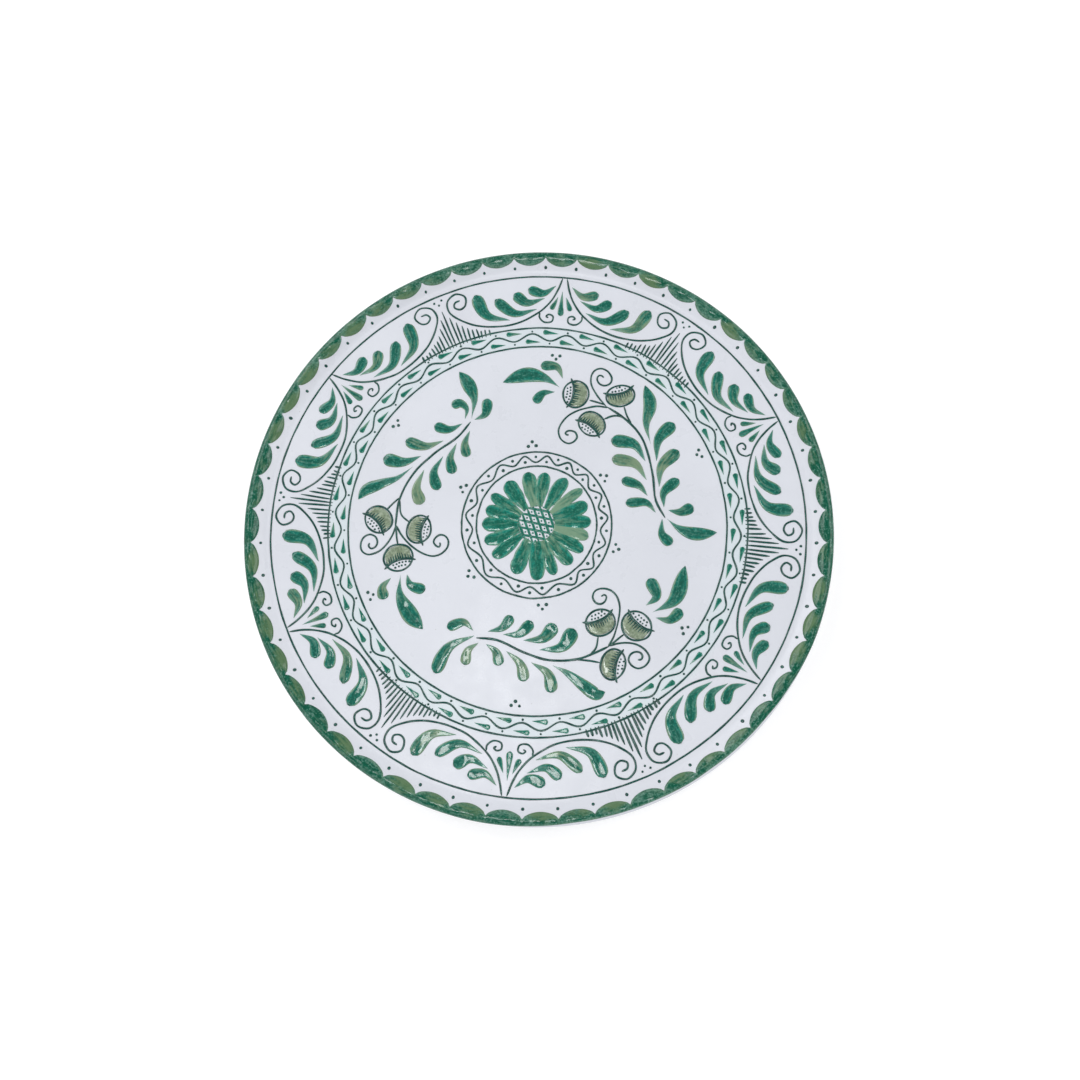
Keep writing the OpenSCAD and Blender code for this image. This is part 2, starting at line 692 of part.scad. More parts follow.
module medallion_wave() {
    crest_share = 0.76;
    trough_share = 0.27;
    path = [for (k = [0:crest_count + 1])
        each [border_at(crest_a(k), crest_share), border_at(trough_a(k), trough_share)]];
    steps = 4;
    wave = curve(path, steps);
    once = [for (k = [steps:steps + 2 * steps * crest_count - 1]) k];    // one full turn
    color(LINE_GREEN) on_well() difference() {
        polygon([for (k = once) wave[k] + left(wave, k) * line_w / 2]);
        polygon([for (k = once) wave[k] - left(wave, k) * line_w / 2]);
    }
}

module medallion_dots() {
    color(LINE_GREEN) on_well() for (k = [0:crest_count - 1]) {
        dot_mark(border_at(crest_a(k), 0.33));
        dot_mark(border_at(trough_a(k), 0.66));
    }
}

module medallion_trio_dots() {
    r_pair = medallion_r + 3.1;
    color(LINE_GREEN) on_well() for (a = MEDALLION_TRIOS) trio_mark(a, r_pair, r_pair + trio_h);
}

module flower_petals() {
    root_r = 0.9 * lattice_r;
    bend = 1;
    steps = 6;
    color(DEEP_GREEN) on_well() difference() {
        union() for (p = PETALS) {
            middle = polar(p[0] + bend, (root_r + flower_r) / 2);
            path = curve([polar(p[0], root_r), middle, polar(p[0], flower_r * p[1])], steps);
            polygon(petal_outline(path, p[2] * flower_r / drawn_flower_r));
        }
        circle(lattice_r);
    }
}

// Slanted net of lines inside the lattice's circle, with a dot in each mesh.
module flower_lattice() {
    row = [3.45, -0.75];
    column = [1.3, -3.75];
    mesh_at = [-1, 2.2];
    reach = 3;              // meshes on each side of the first
    long = 5;               // half length of a net line, in meshes
    color(DEEP_GREEN) on_well() intersection() {
        circle(lattice_r);
        union() {
            for (k = [-reach:reach + 1]) {
                across = mesh_at + (k - 0.5) * column;
                down = mesh_at + (k - 0.5) * row;
                polygon(line_outline([across - long * row, across + long * row], line_w));
                polygon(line_outline([down - long * column, down + long * column], line_w));
            }
            for (i = [-reach:reach], j = [-reach:reach]) {
                dot_mark(mesh_at + i * row + j * column, seed_r);
            }
        }
    }
}

biscuit_body();
glaze_coat();
foot_recess_glaze();
lip_band();
lip_scallops();
scallop_dots();
rim_line();
rim_trio_dots();
for (i = CELLS) {
    garland_scroll(i);
    garland_leaves(i);
    garland_comb(i);
}
band_outer_line();
band_inner_line();
band_wave();
band_drops();
band_dots();
well_trio_dots();
for (i = BRANCHES) {
    branch_stem(i);
    branch_leaves(i);
    berry_wash(i);
    berry_drawing(i);
}
medallion_outer_line();
medallion_inner_line();
medallion_wave();
medallion_dots();
medallion_trio_dots();
flower_petals();
flower_lattice();
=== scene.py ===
import math
import random

import bpy
from mathutils import Matrix, Vector, noise


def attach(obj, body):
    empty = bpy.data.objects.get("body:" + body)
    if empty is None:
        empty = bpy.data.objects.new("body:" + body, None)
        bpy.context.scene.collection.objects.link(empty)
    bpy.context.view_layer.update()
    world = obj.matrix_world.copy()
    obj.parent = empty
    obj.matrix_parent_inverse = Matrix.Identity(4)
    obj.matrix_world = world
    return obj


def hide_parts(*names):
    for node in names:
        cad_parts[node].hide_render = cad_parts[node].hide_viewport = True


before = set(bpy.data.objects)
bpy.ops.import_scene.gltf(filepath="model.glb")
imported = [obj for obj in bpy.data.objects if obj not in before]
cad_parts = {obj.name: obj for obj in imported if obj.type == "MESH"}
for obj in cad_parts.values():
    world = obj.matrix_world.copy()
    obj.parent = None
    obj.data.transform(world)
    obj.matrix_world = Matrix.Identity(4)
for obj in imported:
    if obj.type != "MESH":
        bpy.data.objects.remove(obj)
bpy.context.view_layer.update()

random.seed(7)
MM = 0.001

# ----- sizes of the plate in millimetres, as in the CAD model -----

PLATE_R = 140
RIM_W = 52
RIM_RISE = 2.5
LIP_W = 11
LIP_H = 6.2
LIP_ROUND = 2.2
WALL_T = 6.5
FOOT_H = 5.5
FOOT_R = 80
FOOT_W = 5
FOOT_DRAFT = 2
GLAZE_T = 0.5
PAINT_T = 0.3
WASH_T = 0.15
LINE_W = 0.9
HATCH_W = 0.95
DOT_R = 0.78
LIP_BAND_W = 3.2
SCALLOP_DROP = 3.6
SCALLOP_COUNT = 53
GARLAND_A = 83.5
GARLAND_COUNT = 6
WAVE_COUNT = 34
WAVE_START = 112.5
BAND_MID = 0.51
WAVE_RISE = 0.18
MEDALLION_R = 36.1
BORDER_W = 7.2
FLOWER_R = 26
LATTICE_R = 9.6
RIM_WALL_T = 5.4
TURN_R = 5

WELL_R = PLATE_R - RIM_W
LIP_R = PLATE_R - LIP_W
CREST_R = PLATE_R - LIP_ROUND
FLOOR_Z = FOOT_H + WALL_T
EDGE_Z = FLOOR_Z + LIP_H - LIP_ROUND
RIM_LINE_R = PLATE_R - 12.1
BAND_IN_R = WELL_R + 3
BAND_OUT_R = BAND_IN_R + 9.7
BAND_W = BAND_OUT_R - BAND_IN_R
BORDER_IN_R = MEDALLION_R - BORDER_W
FOOT_OUT = FOOT_R + FOOT_W / 2
FOOT_IN = FOOT_R - FOOT_W / 2
RIM_SLOPE = RIM_RISE / (LIP_R - WELL_R)
WAVE_STEP = 360 / WAVE_COUNT

# ----- the drawing: the same marks as in the CAD model -----

# One side of a garland, as (angle from the peak, height above the band): its scroll and its curl.
SCROLL = (
    (0.5, 26.6), (1.3, 20.8), (2.6, 15.2), (4.3, 10.9), (7, 6.9), (11, 3.5), (15, 2.6), (19, 3.4),
    (23, 6.1), (26.5, 11.3), (28.4, 17.3), (27.9, 22.7), (25.5, 25.2), (23.6, 22.3), (24.2, 17.8),
    (25.6, 16.7), (26.8, 18.6), (26.3, 20.9), (25, 21.3)
)
CURL = (
    (5.6, 8.2), (5.7, 5.8), (4.4, 3.2), (2.3, 3.7), (2.1, 6.4), (3.2, 7.3), (3.9, 6.3), (3.3, 5.5)
)
# Brush leaves of a garland and of its fan: tail, middle, head, width, belly.
GARLAND_LEAVES = (
    ((1.9, 22.5), (4.8, 18.4), (8.4, 20.8), 5.2, 2.2),
    ((4.4, 15.8), (8.9, 13.6), (11.9, 18.6), 5.6, 2.2),
    ((6.4, 10), (12.2, 8.4), (16.7, 16.9), 5.6, 2.2),
    ((13.8, 5.2), (19.6, 9.8), (21.2, 21.6), 6.6, 1.9)
)
FAN = (
    ((0.2, 19.8), (0.2, 12), (0.1, 6.8), 3.2, 2.2),
    ((1.2, 16.8), (1.9, 13.2), (2.7, 9.9), 2.5, 2.2),
    ((-0.8, 16.8), (-1.6, 13.2), (-2.4, 9.9), 2.5, 2.2)
)
# Heights of a comb's strokes from its middle outwards, and the angle between them.
COMB_TOPS = (19.4, 15, 11, 8.3, 6.3, 5, 4.3, 2.9, 2.5, 2.3)
COMB_STEP = 1.12

# Each branch's stem, two curls and three berry stalks.
STEMS = (
    (
        ((-32.5, 52), (-38.5, 44.5), (-50, 36), (-60, 25.8), (-66.5, 13), (-68.2, -1.5)),
        ((-67.9, 0), (-69.5, -5), (-72.5, -10), (-76.5, -13.3), (-81, -14.4), (-84, -12.5),
            (-84.6, -9), (-83.3, -6), (-80.5, -4.6), (-77.6, -5.8), (-76.6, -8.5), (-77.7, -10.8),
            (-79.5, -11.5), (-80.8, -10.2), (-80.4, -8.7)),
        ((-67.9, 0), (-65, -5), (-60, -10.5), (-54.5, -14), (-49.5, -15.4), (-45.5, -14.2),
            (-42.7, -11), (-42.3, -8), (-44, -5.6), (-46.5, -5.1), (-48.6, -6.4), (-49.4, -8.4),
            (-48.3, -10.2), (-46.9, -10.9), (-46.2, -10), (-46.4, -8.7)),
        ((-66.7, 13.5), (-70, 10.4), (-72.6, 7.6)),
        ((-66.5, 13), (-65.4, 5.2), (-61.2, 1.2)),
        ((-67.9, 0), (-67.3, -6), (-66.6, -9.6))
    ),
    (
        ((61.7, 2.5), (57.5, 11), (56, 26), (51.3, 43), (43, 53), (34.5, 59)),
        ((34.5, 58.8), (29.5, 65.5), (27, 71), (27.3, 75.5), (29.5, 78.4), (32.5, 78.9), (35.7, 77),
            (37.3, 73.5), (36.2, 70.9), (33.5, 70), (31, 71.2), (30, 73.5), (30.9, 75.2), (32.3, 75.2),
            (33.3, 74.2)),
        ((35.5, 58.5), (30, 59.3), (25, 58.5), (20, 57), (15, 54), (11.8, 50), (10.8, 46.5), (12, 42.5),
            (15.5, 40.3), (18.2, 41.2), (19.8, 43.5), (19, 45.9), (17, 46.8), (15, 46.6), (14.2, 45.6),
            (14.8, 44.8), (15.9, 44.6)),
        ((33.5, 60), (29.5, 61.5), (26, 62.5)),
        ((46.5, 50.2), (44.5, 54), (43, 59)),
        ((43.5, 52.7), (40.5, 54), (37, 54), (33, 52.5))
    ),
    (
        ((-28.3, -54.7), (-18.5, -55.8), (-6, -61.5), (6, -65.3), (18, -65), (26, -62.5), (34, -58.8)),
        ((33.5, -59), (36.3, -54), (38.4, -47), (39.2, -40), (37.7, -35), (34.5, -32.2), (30.5, -31.6),
            (27.5, -33), (26.6, -35.8), (28, -38.3), (30.5, -38.9), (32.6, -37.3), (33, -35.4),
            (32.2, -34.6), (30.5, -35.3)),
        ((34, -58.8), (38, -57.6), (43, -57.4), (47.5, -58.5), (51, -61), (52.7, -64.5), (51, -67.7),
            (47.5, -69.2), (44.5, -68), (42.9, -65.5), (43.6, -62.9), (46, -61.6), (48.4, -62),
            (49.4, -63.6), (48.8, -65), (47.2, -65.3)),
        ((25, -62.8), (27.8, -59.5), (29, -54)),
        ((33.8, -58.8), (37.5, -56), (41.2, -53.2)),
        ((18, -65), (24, -65.5), (29.6, -66.5))
    )
)
# Brush leaves of each branch: points from the tail to the head, width, belly, olive share.
BRANCH_LEAVES = (
    (
        (((-36.7, 51), (-43, 48.2), (-50.3, 50)), 5.6, 2.2, 0),
        (((-45.8, 42.3), (-55, 39.6), (-64.3, 42.5)), 5.8, 2.2, 0.55),
        (((-56.6, 34.5), (-65.5, 31.7), (-75, 33.6)), 6.4, 2.2, 0.1),
        (((-60.5, 29.2), (-68, 23.6), (-77, 20.3), (-83, 17.6), (-86.6, 12.9)), 6.2, 1.6, 0),
        (((-32.8, 47.3), (-35.2, 40.8), (-34, 34)), 4.8, 2.2, 0.5),
        (((-39.3, 41), (-42.3, 33), (-40.8, 25.5)), 5.4, 2.2, 0.4),
        (((-45.8, 34.3), (-50.2, 26), (-48, 17.3)), 5.6, 2.2, 0.1),
        (((-55, 27.5), (-58.4, 18), (-56, 10.2)), 6.2, 2.2, 0.9),
        (((-32, 53.5), (-31, 64), (-33.6, 71), (-38.6, 78.2)), 7.4, 1.7, 0.2),
        (((-35.3, 53.5), (-34.6, 58.8), (-37.8, 61.6), (-42, 60.2)), 5, 2.2, 0.2),
        (((-30.5, 53), (-25.4, 56), (-24.2, 63.8)), 5.6, 2.2, 0.3),
        (((-69.5, -26), (-73.4, -30.5), (-72.4, -36.2)), 5.2, 2.2, 0.6),
        (((-65, -24.5), (-64.9, -34), (-60.2, -43), (-53.6, -50.4)), 7.8, 1.8, 0.15),
        (((-61.8, -24.3), (-60, -29.3), (-53, -31.8)), 5.2, 2.2, 0.1)
    ),
    (
        (((61.2, 7.8), (61.4, 15), (68.6, 21.6)), 5.6, 2.2, 0.1),
        (((59.2, 18), (60.6, 28), (69, 36)), 6.2, 2.2, 0.6),
        (((58.2, 31), (59.6, 42), (67.3, 50)), 6.6, 2.2, 0.15),
        (((55.6, 39.5), (53.8, 50), (55.8, 60), (53.6, 69.8)), 7, 1.75, 0.3),
        (((57.2, 5.2), (52.8, 10), (43, 10)), 5, 2.2, 0.2),
        (((53.5, 13.5), (49.5, 18.6), (41.3, 21.7)), 5, 2.2, 0.3),
        (((53.2, 21.5), (48, 29.5), (36.8, 32.4)), 5.8, 2.2, 0.8),
        (((52.8, 31), (47.8, 39.2), (36.6, 42)), 6.8, 2.2, 0.05),
        (((62.5, 2), (68, -2.6), (75.5, -5.4), (86, -4.9)), 6.8, 1.8, 0),
        (((60.3, 2), (59.9, -5.4), (64.2, -10.6)), 5.2, 2.2, 0.1),
        (((63.3, 6.3), (69, 5.3), (75.2, 8)), 5.4, 2.2, 0.3),
        (((13, 74), (10.2, 80), (2.2, 81)), 5.4, 2.2, 0.5),
        (((11.5, 69.4), (4, 74.4), (-5, 76.2), (-16.7, 72.4)), 8, 1.6, 0.05),
        (((9, 67), (3.2, 66.4), (-1, 61.6)), 5.2, 2.2, 0.15)
    ),
    (
        (((-22.8, -51.7), (-16, -50), (-11.5, -44.5)), 5, 2.2, 0.2),
        (((-15.5, -53.3), (-8, -52.8), (-2, -47.3)), 5.8, 2.2, 0.1),
        (((-6, -56), (3, -55), (9, -48.6)), 6.4, 2.2, 0.35),
        (((1.5, -60.5), (12, -59), (17.8, -50.8)), 7.2, 2.2, 0),
        (((-23.5, -57.7), (-19, -61.3), (-17.3, -67.6)), 5, 2.2, 0.5),
        (((-14, -61), (-7.6, -67), (-5.5, -75)), 5.8, 2.2, 0.7),
        (((-2.3, -66.3), (5.3, -71.5), (7.3, -80.2)), 6.2, 2.2, 0.6),
        (((7.5, -67.7), (14, -71), (22, -77), (28, -81), (31.8, -80)), 6.2, 1.5, 0.1),
        (((-29.3, -53.7), (-41.2, -59.2), (-47.5, -71)), 6.6, 2, 0.3),
        (((-27.3, -57), (-32, -60.6), (-33.5, -67.3)), 5, 2.2, 0.8),
        (((-29.7, -51.2), (-34.3, -47.4), (-42, -49.8)), 5, 2.2, 0.4),
        (((51.7, -39.7), (56.4, -35.5), (53.4, -27)), 6.4, 2.2, 0.2),
        (((54.5, -43), (65, -37), (70.5, -21)), 7.4, 1.7, 0.1),
        (((56, -45.6), (62.5, -46.6), (68.2, -42)), 5.8, 2.2, 0.4)
    )
)
# Berries of each branch: centre, radius, angle faced, depth that way as a share of the width.
BERRIES = (
    (((-76.4, 2.8), 7, 221, 0.9), ((-56.7, -2.2), 6.8, -12, 0.86), ((-66.3, -16), 7, -75, 0.93)),
    (((19.4, 65.7), 7, 168, 0.9), ((41.3, 64.5), 7.1, 102, 0.76), ((27.1, 50.2), 6.8, 229, 0.86)),
    (((30.1, -47.8), 7, 111, 0.88), ((46.8, -49.4), 7.2, 47, 0.92), ((35.6, -67.3), 7.2, -15, 0.8))
)
# A berry's crown line: how far ahead of its middle and across, in radii.
CROWN = ((0.55, -1.1), (0.27, -0.55), (0.18, 0), (0.22, 0.55), (0.45, 1.12))

# Angles of the medallion wave's crests, and of the dot groups round it.
WAVE_CRESTS = (81, 62, 44.5, 24, 5, -17, -38.5, -58.5, -85, -106, -134, -163, -188, -213, -239, -260)
MEDALLION_TRIOS = (93, 35, -18, -86, -142, 153)
# Petals: angle, reach as a share of FLOWER_R, width, olive share.
PETALS = (
    (99, 1, 7.4, 0.6), (80, 1, 6.6, 0.4), (58, 1.02, 7, 0.1), (38, 1.07, 5.4, 0.8), (21, 1.01, 7.6, 0),
    (2, 1.01, 7.4, 0.25), (-15, 0.99, 6.4, 1), (-31, 1, 6.6, 0.3), (-50, 0.99, 6.8, 0.4),
    (-71, 1.01, 6, 0.4), (-89, 1.05, 8, 0.1), (-113, 1.01, 7.6, 0.2), (-142, 1.01, 7, 0),
    (-161, 1.01, 7, 0.1), (180, 1.01, 7.6, 0), (163, 0.99, 7, 0.1), (146, 1.01, 6.2, 0.3),
    (124, 0.99, 7.6, 0.1)
)

CELLS = range(1, GARLAND_COUNT + 1)
# Where the comb strokes and the petals' feet are broadest.
LOWER_RIGHT = -50

# ----- small geometry helpers -----


def polar(angle, r):
    """Point at angle degrees and radius r."""
    a = math.radians(angle)
    return Vector((r * math.cos(a), r * math.sin(a)))


def rim_at(angle, height):
    """Point on the rim, height millimetres out from the band."""
    return polar(angle, BAND_OUT_R + height)


def band_at(angle, share):
    """Point in the band, at a share of the way from its inner to its outer line."""
    return polar(angle, BAND_IN_R + share * BAND_W)


def border_at(angle, share):
    """Point in the medallion's border, at a share of the way from its inner to its outer line."""
    return polar(angle, BORDER_IN_R + share * BORDER_W)


def curve(points, steps):
    """Smooth open curve through the points, with steps to each span."""
    p = [Vector(q) for q in points]
    p = [2 * p[0] - p[1]] + p + [2 * p[-1] - p[-2]]
    knots = [0.0]
    for one, two in zip(p, p[1:]):
        knots.append(knots[-1] + math.sqrt((two - one).length))
    out = []
    for i in range(1, len(p) - 2):
        t0, t1, t2, t3 = knots[i - 1:i + 3]
        for j in range(steps):
            t = t1 + (t2 - t1) * j / steps
            a1 = p[i - 1].lerp(p[i], (t - t0) / (t1 - t0))
            a2 = p[i].lerp(p[i + 1], (t - t1) / (t2 - t1))
            a3 = p[i + 1].lerp(p[i + 2], (t - t2) / (t3 - t2))
            b1 = a1.lerp(a2, (t - t0) / (t2 - t0))
            b2 = a2.lerp(a3, (t - t1) / (t3 - t1))
            out.append(b1.lerp(b2, (t - t1) / (t2 - t1)))
    return out + [p[-2]]


def ease(t):
    """A smooth step from 0 to 1."""
    return t * t * (3 - 2 * t)


def clamp(x, low=0.0, high=1.0):
    return max(low, min(high, x))


def face_z(r):
    """Height of the glazed face at radius r, up to the outside of the lip."""
    if r <= WELL_R - TURN_R:
        return FLOOR_Z
    if r < WELL_R + TURN_R:
        return FLOOR_Z + RIM_SLOPE * (r - WELL_R + TURN_R) ** 2 / (4 * TURN_R)
    if r <= LIP_R:
        return FLOOR_Z + RIM_SLOPE * (r - WELL_R)
    if r <= CREST_R:
        return FLOOR_Z + RIM_RISE + (LIP_H - RIM_RISE) * ease((r - LIP_R) / (CREST_R - LIP_R))
    d = min(r - CREST_R, LIP_ROUND)
    return EDGE_Z + math.sqrt(LIP_ROUND ** 2 - d ** 2)


# How far the kiln bent the rim, and how deep the hand's long waves are.
WARP_SADDLE = 0.16
WARP_WAVES = 0.06


def warp(x, y):
    """How far the hand-made plate stands above its true shape at a point."""
    r = math.hypot(x, y) / PLATE_R
    a = math.atan2(y, x)
    saddle = WARP_SADDLE * r ** 3 * math.sin(2 * a + 0.7)
    return saddle + WARP_WAVES * r ** 2 * noise.noise((x / 30, y / 30, 0))


def on_face(x, y, lift=0.0):
    """Point lift millimetres above the glazed face."""
    return Vector((x, y, face_z(math.hypot(x, y)) + warp(x, y) + lift))


# ----- pieces -----


class Piece:
    """A mesh in the making: points in millimetres, faces, and two values that the materials read.

    paint: closeness to the mark's edge, share of the way along it, and its olive share.
    brush: distance across and along the mark, and a number of its own.
    """

    def __init__(self):
        self.points = []
        self.faces = []
        self.paint = []
        self.brush = []

    def add_point(self, point, paint=(0, 0, 0), brush=(0, 0, 0)):
        self.points.append(point)
        self.paint.append(paint)
        self.brush.append(brush)
        return len(self.points) - 1

    def join_rings(self, one, two):
        n = len(one)
        for i in range(n):
            j = (i + 1) % n
            self.faces.append((one[i], one[j], two[j], two[i]))

    def finish(self, name, material, slot, *nodes):
        """Makes the object that stands in for the CAD nodes."""
        mesh = bpy.data.meshes.new(name)
        mesh.from_pydata([p * MM for p in self.points], [], self.faces)
        for key, values in (("paint", self.paint), ("brush", self.brush)):
            attribute = mesh.attributes.new(key, "FLOAT_VECTOR", "POINT")
            attribute.data.foreach_set("vector", [v for p in values for v in p])
        mesh.materials.append(material)
        mesh.shade_smooth()
        mesh.validate()
        obj = bpy.data.objects.new(name, mesh)
        bpy.context.scene.collection.objects.link(obj)
        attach(obj, "root")
        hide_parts(*nodes)
        return obj


def lathe(piece, profile, steps):
    """Turns a closed or pole-to-pole profile of (r, z) points round the axis."""
    rings = []
    for r, z in profile:
        if r == 0:
            rings.append([piece.add_point(Vector((0, 0, z)))])
            continue
        ring = []
        for k in range(steps):
            x, y = polar(360 * k / steps, r)
            ring.append(piece.add_point(Vector((x, y, z + warp(x, y)))))
        rings.append(ring)
    for one, two in zip(rings, rings[1:]):
        for k in range(steps):
            j = (k + 1) % steps
            corners = [one[k % len(one)], two[k % len(two)], two[j % len(two)], one[j % len(one)]]
            piece.faces.append(tuple(dict.fromkeys(corners)))


# Brush marks in cross-section: share of the half width, share of the height.
LEAF_SECTION = (
    (1, 0), (0.93, 0.65), (0.78, 0.96), (0.4, 1), (0, 0.97),
    (-0.4, 1), (-0.78, 0.96), (-0.93, 0.65), (-1, 0)
)
LINE_SECTION = ((1, 0), (0.75, 0.7), (0.3, 1), (-0.3, 1), (-0.75, 0.7), (-1, 0))
# How far a mark goes down into what it lies on.
SINK = 0.12
# How many times longer than wide the bristle streaks are.
STREAK = 6


def add_ring(piece, path_point, side, half, section, rise, base, paint, run, seed):
    """One cross-section of a brush mark, closed below the surface it lies on."""
    ring = []
    along, olive = paint
    for across, up in section:
        q = path_point + side * half * across
        ring.append(piece.add_point(
            on_face(q.x, q.y, base + rise * up), (abs(across), along, olive),
            (half * across * MM, run * MM / STREAK, seed)))
    for across in (-0.5, 0.5):
        q = path_point + side * half * across
        ring.append(piece.add_point(on_face(q.x, q.y, base - SINK), (1, along, olive)))
    return ring


def stroke(piece, path, half, section, olive=0.0, rise=PAINT_T, base=0.0):
    """A raised brush mark along path, half[i] wide to each side."""
    last = len(path) - 1
    seed = random.uniform(0, 9)
    rings = []
    run = 0.0
    for i, p in enumerate(path):
        d = (path[min(i + 1, last)] - path[max(i - 1, 0)]).normalized()
        if i:
            run += (p - path[i - 1]).length
        height = rise * clamp(half[i] / (0.5 * LINE_W), 0.3, 1)
        side = Vector((-d.y, d.x))
        rings.append(add_ring(
            piece, p, side, half[i], section, height, base, (i / last, olive), run, seed))
    for one, two in zip(rings, rings[1:]):
        piece.join_rings(two, one)
    piece.faces.append(tuple(rings[0]))
    piece.faces.append(tuple(reversed(rings[-1])))


def closed_stroke(piece, path, half):
    """A raised line round a closed path."""
    n = len(path)
    run = 0.0
    rings = []
    for i, p in enumerate(path):
        d = (path[(i + 1) % n] - path[i - 1]).normalized()
        run += (p - path[i - 1]).length
        side = Vector((-d.y, d.x))
        rings.append(add_ring(
            piece, p, side, half[i], LINE_SECTION, PAINT_T, 0.0, (0.5, 0), run, 0))
    for i in range(n):
        piece.join_rings(rings[(i + 1) % n], rings[i])


def shaky(path, reach=0.12, step=6.0):
    """The path as an unsteady hand draws it."""
    seed = random.uniform(0, 1000)
    out = []
    for p in path:
        out.append(p + reach * Vector((
            noise.noise((p.x / step, p.y / step, seed)),
            noise.noise((p.x / step, p.y / step, seed + 50)))))
    return out


def line(piece, points, steps=5, width=LINE_W, base=0.0):
    """A fine line through the points, of uneven width and tapered at both ends."""
    path = shaky(curve(points, steps))
    seed = random.uniform(0, 1000)
    last = len(path) - 1
    half = []
    run = 0.0
    for i, p in enumerate(path):
        if i:
            run += (p - path[i - 1]).length
        half.append(width / 2 * (1 + 0.25 * noise.noise((run / 5, seed, 0))))
    for i, share in ((0, 0.35), (1, 0.85), (last - 1, 0.85), (last, 0.35)):
        half[i] *= share
    stroke(piece, path, half, LINE_SECTION, base=base)


# Brush leaves with a smaller belly than this end in a point, the others in a round head.
POINTED_BELLY = 1.85


def leaf_share(t, belly):
    """Width of a brush leaf at t of its length, as a share of its widest."""
    if belly < POINTED_BELLY:
        return math.sin(math.pi * t ** belly) ** 0.85
    return 1.36 * t ** 0.9 * math.sqrt(1 - t ** 8)


def leaf(piece, points, width, belly, olive=0.0, steps=9):
    """A brush leaf along the points, thin at the tail."""
    path = shaky(curve(points, steps))
    last = len(path) - 1
    width *= random.uniform(0.94, 1.04)
    half = [width / 2 * leaf_share(clamp(i / last, 0.012, 0.997), belly) for i in range(last + 1)]
    stroke(piece, path, half, LEAF_SECTION, olive)


def petal(piece, a, reach, width, olive):
    """A blunt petal at angle a, from under the lattice, with a broader foot to the lower right."""
    foot = LATTICE_R * 0.9
    foot_share = 0.42 + 0.38 * clamp(1.5 * math.cos(math.radians(a - LOWER_RIGHT)))
    middle = polar(a + random.uniform(-1.5, 1.5), (foot + FLOWER_R) / 2)
    path = shaky(curve((polar(a, foot), middle, polar(a, FLOWER_R * reach)), 14), 0.3, 4)
    last = len(path) - 1
    half = []
    for i in range(last + 1):
        t = i / last
        full = foot_share + (1 - foot_share) * ease(clamp(t / 0.55))
        full *= 1 + 0.12 * noise.noise((t * 3, a, 0))
        half.append(width / 2 * full * math.sqrt(1 - min(t, 0.997) ** 9))
    stroke(piece, path, half, LEAF_SECTION, olive)


def closed_line(piece, path, width=LINE_W):
    """A fine line round a closed path, with its width breathing."""
    half = [width / 2 * (1 + 0.3 * noise.noise((p.x / 4, p.y / 4, 9))) for p in path]
    closed_stroke(piece, path, half)


def dot(piece, centre, r=DOT_R, rise=PAINT_T, steps=12):
    """A raised round dot."""
    centre = Vector(centre) + Vector((random.uniform(-0.12, 0.12), random.uniform(-0.12, 0.12)))
    r *= random.uniform(0.88, 1.14)
    stretch = random.uniform(0.9, 1.1)
    rings = []
    for share, up in ((1, -SINK / rise), (1, 0), (0.85, 0.6), (0.45, 1)):
        ring = []
        for k in range(steps):
            q = polar(360 * k / steps, r * share)
            q = centre + Vector((q.x * stretch, q.y))
            ring.append(piece.add_point(on_face(q.x, q.y, rise * up), (share, 0.5, 0)))
        rings.append(ring)
    for one, two in zip(rings, rings[1:]):
        piece.join_rings(one, two)
    piece.faces.append(tuple(reversed(rings[0])))
    piece.faces.append(tuple(rings[-1]))


# ----- materials -----


